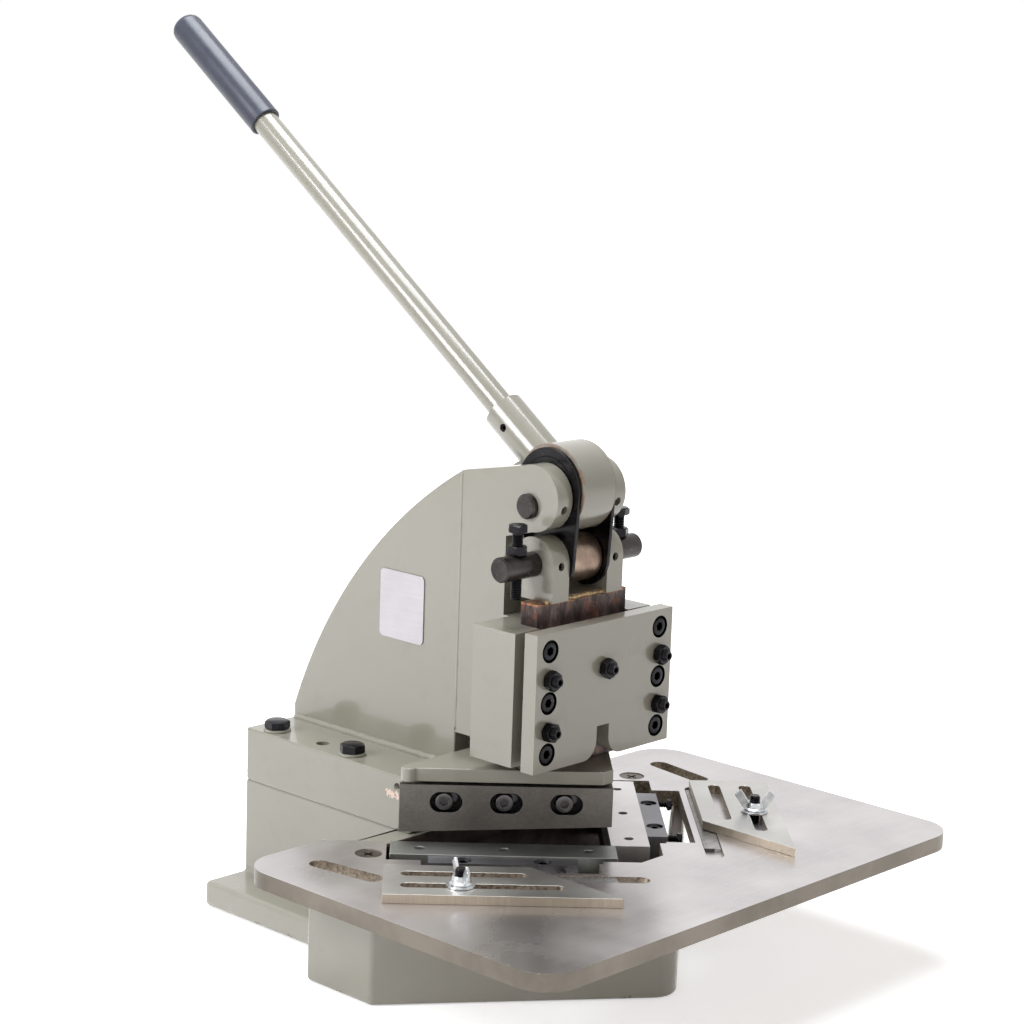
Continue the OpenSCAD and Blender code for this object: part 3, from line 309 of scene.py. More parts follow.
def gripFinish(name):
    make = Finish(name)
    haze = make.noise(24, 4, 0.6)
    colour = make.ramp(haze, [(0.3, linear(46, 50, 63)), (0.7, linear(60, 64, 80))])
    dust = make.between(make.noise(330, 3, 0.6), 0.66, 0.75)
    colour = make.blend(dust * 0.25, colour, linear(120, 118, 116))
    return make.surface(Base_Color=colour, Roughness=make.between(haze, 0.3, 0.7, (0.3, 0.4)),
                        Normal=make.bump(make.noise(900, 2), 0.00008, 0.5))


# plain graduations: step, width and length in mm of the lines of each kind
graduations = ((1.0, 0.25, 3.2), (5.0, 0.3, 5.0), (10.0, 0.35, 7.5))
stripEdge = 0.073 - 0.006    # from the cut to where the lines start

def scaleFinish(name, side):
    make = Finish(name)
    turn = 45 * side
    run, across = make.along(1, turn), make.along(0, turn)
    start = (plateBack + pointFront) / 1000 * half
    count = (run + start) * 1000
    reach = (across - (start + stripEdge) * side) * side * 1000
    ticks = None
    for step, width, length in graduations:
        line = (count / step).math("FRACT").math("LESS_THAN", width / step)
        line = line * reach.math("LESS_THAN", length)
        ticks = ticks.math("MAXIMUM", line) if ticks else line
    film = make.noise(1, 3, 0.5, make.scaled((30, 400, 30), turn))
    colour = make.ramp(film, [(0.3, linear(150, 148, 146)), (0.7, linear(188, 186, 184))])
    colour = make.blend(ticks * 0.85, colour, linear(40, 38, 38))
    return make.surface(Base_Color=colour, Metallic=0.9, Roughness=0.34)


paint = paintFinish("greyPaint")
chippedPaint = paintFinish("chippedPaint", chips=0.85)
flakedPaint = paintFinish("flakedPaint", flake=[
    (-0.0865, -0.0840), (-0.0855, -0.0730), (0.1165, 0.1215)])    # across, back and up
leverPaint = paintFinish("leverPaint", rim=0.0165)
rodPaint = paintFinish("rodPaint", dents=0.0001)
tableSteel = groundFinish("tableSteel", (216, 211, 211), (200, 195, 196), 0.29, spots=0.1)
tableEdge = groundFinish("tableEdge", (122, 115, 106), (102, 96, 88), 0.36, lines=(60, 60, 60))
fenceSteel = groundFinish("fenceSteel", (206, 204, 200), (190, 188, 184), 0.34, turn=45)
fenceEdge = groundFinish("fenceEdge", (188, 176, 160), (158, 148, 132), 0.4, lines=(600, 600, 24))
slotWall = sawnFinish("slotWall", (176, 163, 146), (112, 101, 90))
bladeSteel = groundFinish("bladeSteel", (122, 118, 113), (96, 92, 88), 0.44, 45, 0.12)
bladeSteelRight = groundFinish("bladeSteelRight", (122, 118, 114), (98, 94, 90), 0.44, -45, 0.12)
# the lower blades are one steel: darker on the left as painted shade, lighter on the right as
# painted light
shadedDieSteel = groundFinish("shadedDieSteel", (158, 159, 154), (136, 138, 133), 0.42, 45, 0.1)
litDieSteelRight = groundFinish("litDieSteelRight", (216, 212, 211), (200, 196, 195), 0.36, -45)
blockSteel = groundFinish("blockSteel", (142, 140, 144), (112, 110, 114), 0.42, 45)
# dark oily steel, darker than the steel's own tone as painted shade inside the chute's mouth
oilySteelAndShade = blackFinish("oilySteelAndShade", (84, 70, 64), (44, 36, 34), 0.2, 0.4)
screwSteel = blackFinish("screwSteel", (128, 118, 108), (70, 62, 56), 0.3, 0.35)
# black for the blade screws, with rubbed wear, lightened overall as a painted sheen in place of
# their glossy highlights
wornBlackPaintedSheen = blackFinish("wornBlackPaintedSheen", (124, 121, 122), (50, 48, 50), 0.6, 0.3)
plateMetal = groundFinish("plateMetal", (178, 175, 179), (162, 159, 163), 0.32, lines=(30, 30, 900))
blackOxide = blackFinish("blackOxide")
linkBlack = blackFinish("linkBlack", (44, 42, 44), (14, 13, 14), 0.35, 0.22)
shaftDark = blackFinish("shaftDark", (76, 71, 70), (36, 33, 33), 0.45, 0.28)
zinc = zincFinish("zincPlate")
bronze = bronzeFinish("bearingBronze")
ramSteel = ramFinish("burntSteel")
gripRubber = gripFinish("gripVinyl")
weldGold = sawnFinish("weldGold", (196, 168, 124), (96, 80, 62))
print("materials:", len(bpy.data.materials))


def choose(piece, *others):
    if bpy.context.object and bpy.context.object.mode != "OBJECT":
        bpy.ops.object.mode_set(mode="OBJECT")
    bpy.ops.object.select_all(action="DESELECT")
    for one in (piece, *others):
        one.select_set(True)
    bpy.context.view_layer.objects.active = piece

def named(name):
    piece = bpy.context.object
    piece.name = piece.data.name = name
    return piece

def joined(name, piece, *others):
    choose(piece, *others)
    if others:
        bpy.ops.object.join()
    return named(name)

def startEdit(piece):
    choose(piece)
    bpy.ops.object.mode_set(mode="EDIT")
    bpy.ops.mesh.select_all(action="SELECT")

def endEdit():
    bpy.ops.object.mode_set(mode="OBJECT")

def modify(piece, kind, **settings):
    choose(piece)
    modifier = piece.modifiers.new(kind.title().replace("_", ""), kind)
    for key, value in settings.items():
        setattr(modifier, key, value)
    bpy.ops.object.modifier_apply(modifier=modifier.name)

def smoothed(piece):
    choose(piece)
    bpy.ops.object.shade_smooth_by_angle(angle=math.radians(40))
    modify(piece, "WEIGHTED_NORMAL", keep_sharp=True, weight=60)
    return piece

def soften(piece, width, segments, angle=35):    # width in millimetres
    modify(piece, "BEVEL", width=width / 1000, segments=segments, limit_method="ANGLE",
           angle_limit=math.radians(angle), harden_normals=False, miter_outer="MITER_ARC")
    return smoothed(piece)

# wide soft edges on the big castings, none round their screw holes
longEdge = {"width": 4, "shortest": 11, "leastTurn": 0.6}    # millimetres and radians

def softenLong(piece, share):
    choose(piece)
    mesh = piece.data
    weights = mesh.attributes.new("bevel_weight_edge", "FLOAT", "EDGE")
    shape = bmesh.new()
    shape.from_mesh(mesh)
    for edge in shape.edges:
        if len(edge.link_faces) != 2 or edge.calc_face_angle() <= longEdge["leastTurn"]:
            continue
        middle = (edge.verts[0].co + edge.verts[1].co) * 500
        x, y, z = middle.x, middle.y + plateBack, middle.z - tableUp
        nose = abs(x) < 25 and y < -50
        if nose or edge.calc_length() * 1000 > longEdge["shortest"]:
            weights.data[edge.index].value = share(x, y, z)
    shape.free()
    modify(piece, "BEVEL", width=longEdge["width"] / 1000, segments=4, limit_method="WEIGHT",
           use_clamp_overlap=False)
    return smoothed(piece)

# another material on the faces that a test picks, by middle and normal in millimetres
def tint(piece, material, test):
    piece.data.materials.append(material)
    number = len(piece.data.materials) - 1
    for face in piece.data.polygons:
        x, y, z = face.center * 1000
        if test(x, y + plateBack, z - tableUp, face.normal):
            face.material_index = number
    return piece

def wear(piece, material):
    piece.data.materials.clear()
    piece.data.materials.append(material)
    return piece

# stands for CAD nodes, hiding them, and moves with their body
def settle(piece, *nodes):
    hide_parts(*nodes)
    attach(piece, bodyOf[nodes[0]])
    return piece

def trim(piece, body):
    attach(piece, body)
    return piece

# a merged copy of a CAD node, with its flat faces whole again
def coreOf(node, name):
    source = frame["nodes"][node]
    piece = bpy.data.objects.new(name, source.data.copy())
    bpy.context.scene.collection.objects.link(piece)
    piece.data.name = name
    startEdit(piece)
    bpy.ops.mesh.remove_doubles(threshold=1e-6)
    bpy.ops.mesh.dissolve_limited(angle_limit=math.radians(0.6))
    endEdit()
    return piece

# spins a profile of (radius, height) points round Z
def turned(name, profile, steps=32):
    bpy.ops.mesh.primitive_plane_add(size=0.001)
    piece = named(name)
    mesh = piece.data
    mesh.clear_geometry()
    mesh.from_pydata([(r / 1000, 0, z / 1000) for r, z in profile],
                     [(i, i + 1) for i in range(len(profile) - 1)], [])
    startEdit(piece)
    bpy.ops.mesh.spin(steps=steps, angle=math.tau, center=(0, 0, 0), axis=(0, 0, 1))
    bpy.ops.mesh.remove_doubles(threshold=2e-6)
    bpy.ops.mesh.normals_make_consistent(inside=False)
    endEdit()
    bpy.ops.object.shade_smooth_by_angle(angle=math.radians(32))
    return piece

def hexagonBar(name, flats, low, high):
    radius = flats / 2 / math.cos(math.radians(30)) / 1000
    bpy.ops.mesh.primitive_cylinder_add(vertices=6, radius=radius, depth=(high - low) / 1000,
                                        location=(0, 0, (high + low) / 2000),
                                        rotation=(0, 0, math.radians(30)))
    piece = named(name)
    bpy.ops.object.transform_apply(location=True, rotation=True, scale=True)
    return piece

def combine(piece, tool, operation):
    modify(piece, "BOOLEAN", object=tool, operation=operation, solver="EXACT")
    bpy.data.objects.remove(tool, do_unlink=True)
    return piece

# copies of a template at many places, as one piece
def stamp(template, name, places):
    copies = []
    for place in places:
        mesh = template.data.copy()
        mesh.transform(place)
        copy = bpy.data.objects.new(name, mesh)
        bpy.context.scene.collection.objects.link(copy)
        copies.append(copy)
    piece = joined(name, *copies)
    bpy.data.objects.remove(template, do_unlink=True)
    return piece

def fit(node, name, template, places, material=blackOxide):
    return settle(wear(stamp(template, name, places), material), node)

# rings like a thread's, from one height to another
def threadProfile(radius, low, high):
    pitch, depth = 1.25, 0.55
    points = []
    turns = max(1, round((high - low) / pitch))
    step = (high - low) / turns
    for i in range(turns):
        base = low + i * step
        points += [(radius - depth, base), (radius, base + step * 0.42),
                   (radius, base + step * 0.58)]
    return points + [(radius - depth, high)]

# a bar or a ring with its edges taken off
def barProfile(radius, length, edge, bore=0):
    return [(bore, 0), (radius - edge, 0), (radius, edge), (radius, length - edge),
            (radius - edge, length), (bore, length)] + ([(bore, 0)] if bore else [])

# a lumpy bead of weld along a row of places
def weldBead(name, points, radius, body="frame", lumps=0.0006, material=paint):
    curve = bpy.data.curves.new(name, "CURVE")
    curve.dimensions = "3D"
    curve.bevel_depth = radius / 1000
    curve.bevel_resolution = 3
    curve.use_fill_caps = True
    line = curve.splines.new("POLY")
    fine = []
    for a, b in zip(points, points[1:]):
        count = max(2, int((b - a).length / 0.0022))
        fine += [a.lerp(b, i / count) for i in range(count)]
    fine.append(points[-1])
    line.points.add(len(fine) - 1)
    for point, place in zip(line.points, fine):
        point.co = (*place, 1)
    bead = bpy.data.objects.new(name, curve)
    bpy.context.scene.collection.objects.link(bead)
    choose(bead)
    bpy.ops.object.convert(target="MESH")
    piece = bpy.context.object
    startEdit(piece)
    bpy.ops.mesh.remove_doubles(threshold=1e-5)    # the end caps come loose
    endEdit()
    clouds = bpy.data.textures.new(name + "Lumps", "CLOUDS")
    clouds.noise_scale = 0.006
    modify(piece, "DISPLACE", texture=clouds, strength=lumps, mid_level=0.5, texture_coords="LOCAL")
    choose(piece)
    bpy.ops.object.shade_smooth()
    return trim(wear(piece, material), body)


# the inside of the scrap chute's mouth: oily bare steel, made darker still as painted shade in the
# recess
def inMouth(x, y, z, n):
    deeper = z > -50 and abs(x) < min(130, y + pointFront + 70) and y > -20 and n.z > -0.5
    return y < 121.5 and abs(x) < 138 and (z > -11.5 or deeper)

# the bores round the front plate's screw heads, dark with black oxide as painted shade in the gaps
# round the heads
def inPlateBoreShade(x, y, z, n):
    return abs(n.y) < 0.9 and any(math.hypot(
        abs(x) - plateScrews["across"],
        z - plateScrews["lowest"] - row * plateScrews["pitch"]) < 8.7 for row in range(3))

# the walls of flat plates, and the slots in them
def isWall(x, y, z, n):
    return abs(n.z) < 0.5

def isTableSlot(x, y, z, n):
    return isWall(x, y, z, n) and abs(x) < 198 and -130 < y < 118

def isFenceSlot(x, y, z, n):    # two slots, side by side
    across = bladePlace(1, abs(x), y)[0] - 70
    return isWall(x, y, z, n) and (13 < across < 22.2 or 36.4 < across < 45.6)

def isBladeSlot(x, y, z, n):
    out, along = bladePlace(1, abs(x), y)
    return 21 < z < 38 and -9.6 < out < -0.5 and 20 < along < 138

# a second finish on some faces, by how the node's name starts
tints = {
    "base_casting": [(oilySteelAndShade, inMouth)],
    "front_plate": [(blackOxide, inPlateBoreShade)],
    "upper_blade": [(blackOxide, isBladeSlot)],
    "table": [(tableEdge, isWall), (slotWall, isTableSlot)],
    "fence": [(fenceEdge, isWall), (slotWall, isFenceSlot)],
}

def dress(piece, node, finish):
    wear(piece, finish)
    for start, rows in tints.items():
        if node.startswith(start):
            for material, test in rows:
                tint(piece, material, test)
    return settle(piece, node)

# the share of the full soft edge, by place
bigCastings = {
    "base_casting": ("baseCasting", chippedPaint,
                     lambda x, y, z: 1.0 if y > 121 and z < -70 else 0.65),
    "foot_slab": ("footSlab", flakedPaint, lambda x, y, z: 0.75),
}
# name, width of the soft edges, their segments, and finish
castings = {
    "rib_plate_left": ("ribPlateLeft", 1.4, 3, paint),
    "rib_plate_right": ("ribPlateRight", 1.4, 3, paint),
    "head_plate_left": ("headPlateLeft", 2.2, 3, paint),
    "head_plate_right": ("headPlateRight", 2.2, 3, paint),
    "rib_spacers": ("ribSpacers", 0.8, 2, paint),
    "lever_stop_bar": ("leverStopBar", 1.0, 2, paint),
    "guide_block": ("guideBlock", 1.8, 3, paint),
    "front_plate": ("frontPlate", 1.6, 3, paint),
    "ram_foot": ("ramFoot", 1.5, 3, chippedPaint),
    "ram_clevis": ("ramClevis", 2.2, 4, paint),
}
for node, (name, finish, share) in bigCastings.items():
    dress(softenLong(coreOf(node, name), share), node, finish)
for node, (name, width, segments, finish) in castings.items():
    dress(soften(coreOf(node, name), width, segments), node, finish)
print("castings:", len(bigCastings) + len(castings))


# name, width of the soft edges, their segments, and finish
steelParts = {
    "table": ("notcherTable", 0.7, 2, tableSteel),
    "fence_left": ("fenceLeft", 0.45, 2, fenceSteel),
    "fence_right": ("fenceRight", 0.45, 2, fenceSteel),
    "lower_blade_left": ("lowerBladeLeft", 0.25, 1, shadedDieSteel),
    "lower_blade_right": ("lowerBladeRight", 0.25, 1, litDieSteelRight),
    "upper_blade_left": ("upperBladeLeft", 0.35, 2, bladeSteel),
    "upper_blade_right": ("upperBladeRight", 0.35, 2, bladeSteelRight),
    "adjusting_block_left": ("adjustingBlockLeft", 0.5, 2, blockSteel),
    "adjusting_block_right": ("adjustingBlockRight", 0.5, 2, blockSteel),
    "punch_block": ("punchBlock", 0.5, 2, blockSteel),
    "gib_plate": ("gibPlate", 0.5, 2, blockSteel),
    "ram_plate": ("ramPlate", 0.6, 2, ramSteel),
    "blank_plate": ("blankPlate", 0.2, 2, plateMetal),
    "link_left": ("linkLeft", 0.4, 2, linkBlack),
    "link_right": ("linkRight", 0.4, 2, linkBlack),
}

for node, (name, width, segments, finish) in steelParts.items():
    dress(soften(coreOf(node, name), width, segments), node, finish)
for side, word in sides:
    node = "scale_strip_" + word.lower()
    piece = coreOf(node, "scaleStrip" + word)
    soften(piece, 0.15, 1)
    settle(wear(piece, scaleFinish(piece.name + "Marks", side)), node)
print("steel parts:", len(steelParts) + 2)


# shank and head are radii, key and flats are widths across, in millimetres; the rest
# says where the screws of that kind stand
capScrew = {"shank": 4, "head": 6.5, "height": 8, "key": 6, "length": 40, "socket": 4.2,
            "seat": 8.4}
bladeScrew = {"shank": 4, "head": 6.3, "height": 8, "key": 6, "length": 21, "socket": 4,
              "out": -9.1, "first": 34.5, "pitch": 43, "high": 29.5}
blockScrew = {"shank": 3, "head": 5.8, "height": 6, "key": 5, "length": 25.8, "socket": 3,
              "out": 35.7, "middle": 78.5, "apart": 28, "high": -8.2}
pushScrew = {"flats": 8, "height": 3.5, "shank": 2.5, "length": 23, "threadFrom": 1,
             "out": 51, "middle": 78.5, "apart": 41, "high": -6}
baseBolt = {"flats": 17, "height": 6.4, "shank": 5, "length": 66,
            "across": 72.5, "first": 182, "pitch": 84}
stopBolt = {"flats": 13, "height": 5.5, "shank": 4, "length": 48, "threadFrom": 2,
            "across": 54, "tip": 160.5 + 16 + 3}    # the guide's top, the stroke and a gap
smallNut = {"flats": 13, "height": 6.5, "bore": 4.05}
gibJack = {"radius": 4, "key": 4, "length": 31.2, "thread": 10, "seat": -10,
           "first": 92.7, "middle": 129, "middleLength": 22}
levelScrew = {"radius": 5, "key": 5, "length": 38, "thread": 12, "across": 70, "back": 217.3}
knurl = {"step": 7.5, "depth": 0.965}    # degrees, and the share of the radius left

def socketScrew(sizes):
    r, head, height = sizes["shank"], sizes["head"], sizes["height"]
    piece = turned("screw", [
        (0, -sizes["length"]), (r - 0.6, -sizes["length"]), (r, 0.6 - sizes["length"]), (r, 0),
        (head, 0), (head, height - 0.7), (head - 0.25, height - 0.2),
        (head - 0.8, height), (sizes["key"] * 0.66, height), (0, height)], 48)
    for vertex in piece.data.vertices:    # every other corner of the head drawn in
        radius = math.hypot(vertex.co.x, vertex.co.y)
        turn = round(math.degrees(math.atan2(vertex.co.y, vertex.co.x)) / knurl["step"])
        if radius > (head - 0.1) / 1000 and turn % 2 and vertex.co.z > 0.0001:
            vertex.co.x *= knurl["depth"]
            vertex.co.y *= knurl["depth"]
    key = hexagonBar("key", sizes["key"], height - sizes["socket"], height + 1)
    return combine(piece, key, "DIFFERENCE")

def corner(flats):    # from the middle of a hexagon to its corner
    return flats / 2 / math.cos(math.radians(30))

def hexNut(sizes):
    flats, height, bore = sizes["flats"], sizes["height"], sizes["bore"]
    piece = turned("nut", [
        (bore, 0), (flats * 0.47, 0), (corner(flats), 1.1), (corner(flats), height - 1.1),
        (flats * 0.47, height), (bore + 0.4, height), (bore, height - 0.4), (bore, 0)], 48)
    return combine(piece, hexagonBar("hexagon", flats, -1, height + 1), "INTERSECT")

def hexHead(sizes):
    flats, height = sizes["flats"], sizes["height"]
    shank, length = sizes["shank"], sizes["length"]
    head = turned("boltHead", [
        (0, 0), (flats * 0.47, 0), (corner(flats), 0.6), (corner(flats), height - 1.2),
        (flats * 0.45, height), (0, height)], 48)
    combine(head, hexagonBar("hexagon", flats, -1, height + 1), "INTERSECT")
    stem = [(0, -length), (shank - 0.8, -length)]
    if "threadFrom" in sizes:
        stem += threadProfile(shank, 0.6 - length, -sizes["threadFrom"])
        stem += [(shank, 0.4 - sizes["threadFrom"])]
    else:
        stem += [(shank, 0.8 - length)]
    stem += [(shank, 0.3), (0, 0.3)]
    return joined("bolt", turned("bolt", stem), head)

def hollowScrew(sizes, length):
    radius, key, threaded = sizes["radius"], sizes["key"], sizes["thread"]
    profile = [(0, -length), (radius - 0.8, -length), (radius - 0.2, 0.6 - length)]
    profile += [(radius - 0.2, -threaded)]
    profile += threadProfile(radius, -threaded, -0.7)
    profile += [(radius - 0.8, 0), (0, 0)]
    return combine(turned("jack", profile), hexagonBar("key", key, -key, 1), "DIFFERENCE")

across, pitch = plateScrews["across"], plateScrews["pitch"]
fit("front_plate_screws", "frontPlateScrews", socketScrew(capScrew), [
    facing(spot(side * across, capScrew["seat"], plateScrews["lowest"] + row * pitch),
           front, 11 * side + 17 * row)
    for side, word in sides for row in range(3)])

jackPlaces = [(side * across, gibJack["first"] + row * pitch)
              for side, word in sides for row in (0, 1)]
fit("lock_nuts", "lockNuts", hexNut(smallNut), [
    facing(spot(x, 0, z), front, 13 + x + z) for x, z in jackPlaces + [(0, gibJack["middle"])]])
sideJacks = stamp(hollowScrew(gibJack, gibJack["length"]), "sideJacks", [
    facing(spot(x, gibJack["seat"], z), front, x + z) for x, z in jackPlaces])
middleJack = stamp(hollowScrew(gibJack, gibJack["middleLength"]), "middleJack", [
    facing(spot(0, gibJack["seat"], gibJack["middle"]), front, 8)])
settle(wear(joined("gibJackScrews", middleJack, sideJacks), blackOxide), "gib_jack_screws")

boltPlaces = [(side * baseBolt["across"], baseBolt["first"] + row * baseBolt["pitch"])
              for side, word in sides for row in (0, 1)]
fit("base_bolts", "baseBolts", hexHead(baseBolt), [
    facing(spot(x, y, 40), up, 9 + x + y) for x, y in boltPlaces])
fit("base_washers", "baseWashers", turned("ring", barProfile(10.5, 2, 0.3, 5.5), 40), [
    facing(spot(x, y, 38), up) for x, y in boltPlaces], paint)
fit("jack_screws", "levelScrews", hollowScrew(levelScrew, levelScrew["length"]), [
    facing(spot(side * levelScrew["across"], levelScrew["back"], 35), up, 20)
    for side, word in sides])

fit("stop_bolts", "stopBolts", hexHead(stopBolt), [
    facing(spot(side * stopBolt["across"], shaftY, stopBolt["tip"] + stopBolt["length"]),
           up, 14 * side) for side, word in sides])
fit("stop_nuts", "stopNuts", hexNut(smallNut), [
    facing(spot(side * stopBolt["across"], shaftY, shaftZ + 9), up, 25 * side)
    for side, word in sides])

def alongScrew(side, sizes, steps):    # a screw's place so many steps from the middle of its row
    start = sizes["middle"] + steps * sizes["apart"]
    return bladeSpot(side, sizes["out"], start, sizes["high"])

fit("upper_blade_screws", "upperBladeScrews", socketScrew(bladeScrew), [
    facing(bladeSpot(side, bladeScrew["out"], bladeScrew["first"] + i * bladeScrew["pitch"],
                     bladeScrew["high"]), outward(side), 10 * i)
    for side, word in sides for i in range(3)], wornBlackPaintedSheen)
fit("block_screws", "blockScrews", socketScrew(blockScrew), [
    facing(alongScrew(side, blockScrew, s), up, 12 * s) for side, word in sides for s in (-1, 1)])
fit("push_screws", "pushScrews", hexHead(pushScrew), [
    facing(alongScrew(side, pushScrew, s), outward(side), 7 * s)
    for side, word in sides for s in (-1, 1)])

def crossBar(name, node, radius, reach, y, z, material, chamfer=1.1, bore=0):
    piece = turned(name, barProfile(radius, 2 * reach, chamfer, bore), 56)
    piece.data.transform(facing(spot(reach, y, z), left))
    return settle(wear(piece, material), node)

crossBar("lowerShaft", "lower_shaft", 9, 71.8, shaftY, shaftZ, shaftDark)
crossBar("upperPin", "upper_pin", 9, 40.5, pinY, pinZ, shaftDark, 1.4)
crossBar("bronzeRoller", "bronze_roller", 18, 16.8, shaftY, shaftZ, bronze, 1, 9.05)
print("fasteners done")


eccentric = {"throw": 11.5, "turn": math.radians(15)}
lever = {"slope": math.radians(36.1), "rodStart": 34, "rodR": 10,
         "gripStart": 407.5, "gripL": 124, "gripR": 12.7}
hubY = pinY - eccentric["throw"] * math.sin(eccentric["turn"])
hubZ = pinZ + eccentric["throw"] * math.cos(eccentric["turn"])
handleWay = Vector((0, math.cos(lever["slope"]), math.sin(lever["slope"])))
handleFrame = facing(spot(0, hubY, hubZ), handleWay)

hub = coreOf("lever_hub", "leverHub")
soften(hub, 1.3, 3)
settle(tint(wear(hub, leverPaint), linkBlack, lambda x, y, z, n: abs(x) > 17.1), "lever_hub")

rodR, gripR = lever["rodR"], lever["gripR"]
gripFrom, gripTo = lever["gripStart"], lever["gripStart"] + lever["gripL"]
rodEnd = gripTo - 8
rod = turned("handleRod", [(0, lever["rodStart"]), (rodR, lever["rodStart"]), (rodR, rodEnd - 0.5),
                           (rodR - 0.5, rodEnd), (0, rodEnd)], 48)
rod.data.transform(handleFrame)
settle(wear(rod, rodPaint), "handle_rod")

bore = rodR + 0.05
grip = turned("leverGrip", [
    (bore, gripFrom + 0.6), (bore, gripTo - 7.9), (0, gripTo - 7.9), (0, gripTo),
    (5, gripTo - 0.1), (9.2, gripTo - 0.7), (11, gripTo - 1.8), (12.1, gripTo - 3.6),
    (gripR, gripTo - 6.5), (gripR, gripFrom + 8), (gripR - 0.1, gripFrom + 4),
    (gripR, gripFrom + 2.4), (gripR, gripFrom + 0.7), (gripR - 0.7, gripFrom),
    (bore + 0.6, gripFrom), (bore, gripFrom + 0.6)], 48)
grip.data.transform(handleFrame)
settle(wear(grip, gripRubber), "grip")
print("lever done")


# outlines as (out, up); a wing nut turns by its roll, in degrees
wingNut = {
    "hub": [(4.05, 0), (7.7, 0), (8, 0.4), (7.8, 1.2), (6.6, 2), (6.3, 4.6), (5.6, 6),
            (4.6, 6), (4.05, 5.5), (4.05, 0)],
    "wing": [(4.5, 0.6), (7.8, 0.8), (9.2, 2.2), (14.9, 10.6), (14.9, 11.6), (11.2, 15.1),
             (10.2, 15.1), (5.3, 7.4), (4.5, 3)],
    "thick": 2, "lift": 8.3, "roll": {-1: 65, 1: -46.6},
}
fenceWasher = {"bore": 4.05, "radius": 10, "thick": 1.6, "edge": 0.2, "lift": 6.7}
stud = {"radius": 4, "threadTop": 18.6, "top": 19.3}

def wingNutShape():
    hubPiece = turned("nut", wingNut["hub"], 40)
    outline, thick = wingNut["wing"], wingNut["thick"] / 1000
    wings = []
    for side, word in sides:
        bpy.ops.mesh.primitive_plane_add(size=0.001)
        wing = named("wing")
        wing.data.clear_geometry()
        wing.data.from_pydata([(side * x / 1000, -thick / 2, z / 1000) for x, z in outline],
                              [], [list(range(len(outline)))])
        startEdit(wing)
        bpy.ops.mesh.extrude_region_move(TRANSFORM_OT_translate={"value": (0, thick, 0)})
        bpy.ops.mesh.select_all(action="SELECT")
        bpy.ops.mesh.normals_make_consistent(inside=False)
        endEdit()
        soften(wing, 0.5, 2, 40)
        wings.append(wing)
    return joined("nut", hubPiece, *wings)

def lifted(place, height):
    return Matrix.Translation(place + Vector((0, 0, height / 1000)))

for side, word in sides:
    foot = bladeSpot(side, studOut, studAlong[side], 0)
    roll = Matrix.Rotation(math.radians(wingNut["roll"][side]), 4, "Z")
    fit("wing_nut_" + word.lower(), "wingNut" + word, wingNutShape(),
        [lifted(foot, wingNut["lift"]) @ roll], zinc)
    ring = turned("ring", barProfile(fenceWasher["radius"], fenceWasher["thick"],
                                     fenceWasher["edge"], fenceWasher["bore"]), 40)
    fit("washer_" + word.lower(), "fenceWasher" + word, ring,
        [lifted(foot, fenceWasher["lift"])], zinc)
studProfile = [(0, -12), (stud["radius"], -12), (stud["radius"], 0)]
studProfile += threadProfile(stud["radius"], 0.2, stud["threadTop"])
studProfile += [(stud["radius"] - 0.8, stud["top"]), (0, stud["top"])]
fit("fence_studs", "fenceStuds", turned("stud", studProfile, 28), [
    Matrix.Translation(bladeSpot(side, studOut, studAlong[side], 0)) for side, word in sides])

# CAD nodes that keep their own shape
keptNodes = {"table_screws": screwSteel, "lower_blade_screws": blackOxide,
             "pin_grub_screws": blackOxide, "shaft_grub_screws": blackOxide,
             "socket_grub_screw": blackOxide}
for node, material in keptNodes.items():
    wear(frame["nodes"][node], material)
print("clamps done")


ribOut = 36    # the outer face of a rib plate
for side, word in sides:
    out, seam = side * ribOut, side * (ribOut - 0.9)
    weldBead("footWeld" + word, [spot(out, 113, 38.4), spot(out, 285, 38.4)], 3.2, lumps=0.0018)
    weldBead("seamWeld" + word, [spot(seam, 112, 66), spot(seam, 112, 257.5)], 1.5)
    weldBead("cheekWeld" + word, [spot(out, 62.4, 66), spot(out, 62.4, 158)], 3.2, lumps=0.0012)
weldBead("clevisWeldFront", [spot(-40, 23.6, 177.6), spot(40, 23.6, 177.6)], 1.6,
         "ram", 0.0024, weldGold)
print("welds done")


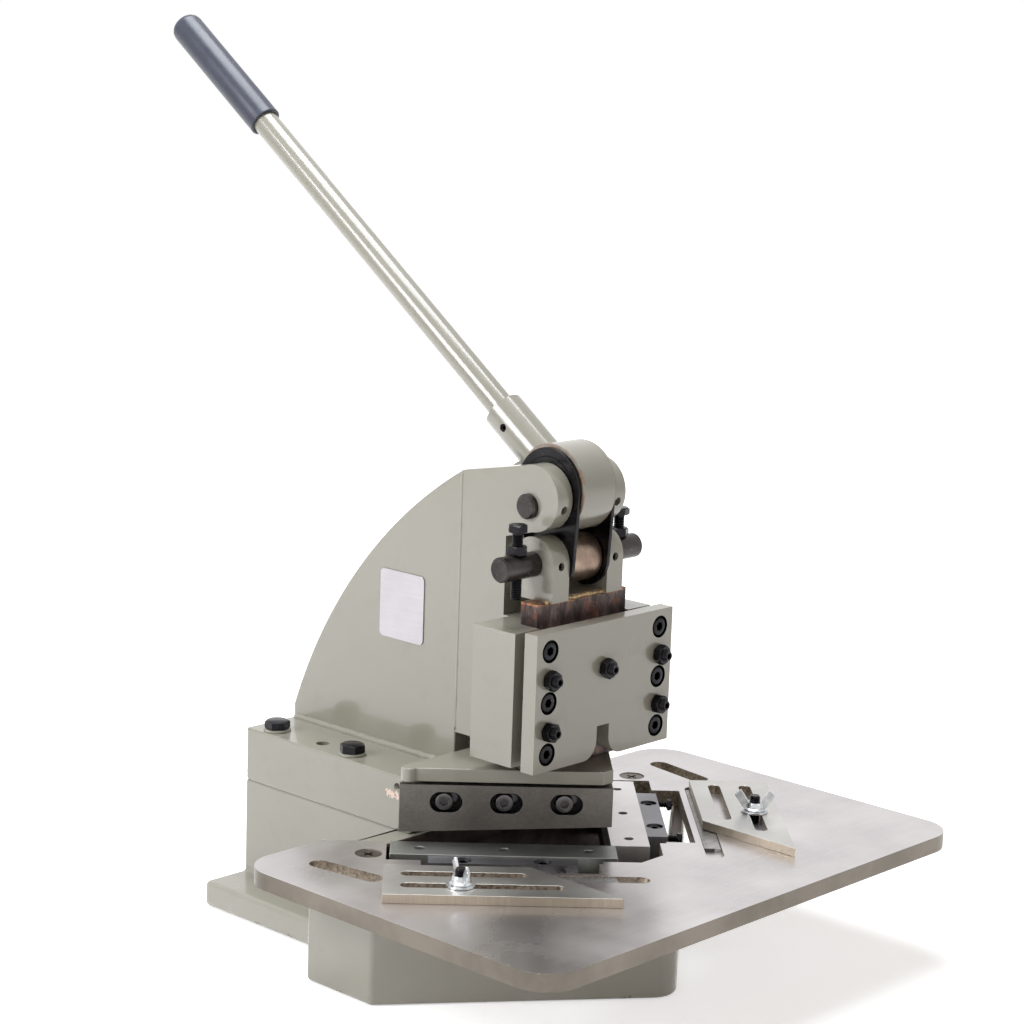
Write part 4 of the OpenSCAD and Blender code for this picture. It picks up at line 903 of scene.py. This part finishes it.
camera = bpy.data.objects.new("camera", bpy.data.cameras.new("camera"))
bpy.context.scene.collection.objects.link(camera)
camera.matrix_world = Matrix((
    (0.68544, 0.11516, -0.71897, -1.3057),
    (-0.72739, 0.15292, -0.66898, -1.3244),
    (0.03290, 0.98152, 0.18858, 0.6651),
    (0, 0, 0, 1)))
camera.data.lens = 87.74
camera.data.sensor_width = 36
camera.data.clip_end = 20
bpy.context.scene.camera = camera

lamps = {   # place, size, power and colour of each soft box
    "keyLamp": ((-1.9, 0.5, 1.3), 0.9, 31, (0.95, 0.97, 1)),
    "frontLamp": ((0.3, -2.1, 1.0), 0.8, 2, (1, 0.93, 0.84)),
    "topLamp": ((0.1, 0.3, 2.3), 1.3, 48, (0.92, 0.96, 1)),
}
lampAim = Vector((0, 0, 0.25))
for name, (place, size, power, colour) in lamps.items():
    lamp = bpy.data.lights.new(name, "AREA")
    lamp.shape, lamp.size, lamp.energy, lamp.color = "SQUARE", size, power, colour
    holder = bpy.data.objects.new(name, lamp)
    bpy.context.scene.collection.objects.link(holder)
    holder.matrix_world = facing(Vector(place), Vector(place) - lampAim)

# white for the camera and for gloss, softer for the light it gives
roomLight, white = (0.31, 0.282, 0.245, 1), (1, 1, 1, 1)
world = bpy.data.worlds.new("paleRoom")
world.use_nodes = True
tree = world.node_tree
seen = seenBy(tree, "Is Camera Ray", "Is Glossy Ray", "Is Transmission Ray")
plug(tree, tree.nodes["Background"].inputs["Color"], mixed(tree, seen, roomLight, white))
bpy.context.scene.world = world

# the floor glows up to plain white away from the notcher, and keeps its shadow
bpy.ops.mesh.primitive_plane_add(size=14, location=(0, 0, -0.0005))
floor = named("floor")
bpy.ops.object.transform_apply(location=True, rotation=True, scale=True)
make = Finish("paleFloor")
seen = seenBy(make.tree, "Is Camera Ray", "Is Glossy Ray")
reach = make.add("ShaderNodeVectorMath", out=1, operation="LENGTH", inputs={0: make.place})
glow = make.between(reach, 0.35, 1.6, (0.5, 1.0))
wear(floor, make.surface(Base_Color=(0.86, 0.86, 0.86, 1), Roughness=0.9, Emission_Color=white,
                         Emission_Strength=seen * glow))
bpy.context.scene.view_settings.view_transform = "Standard"
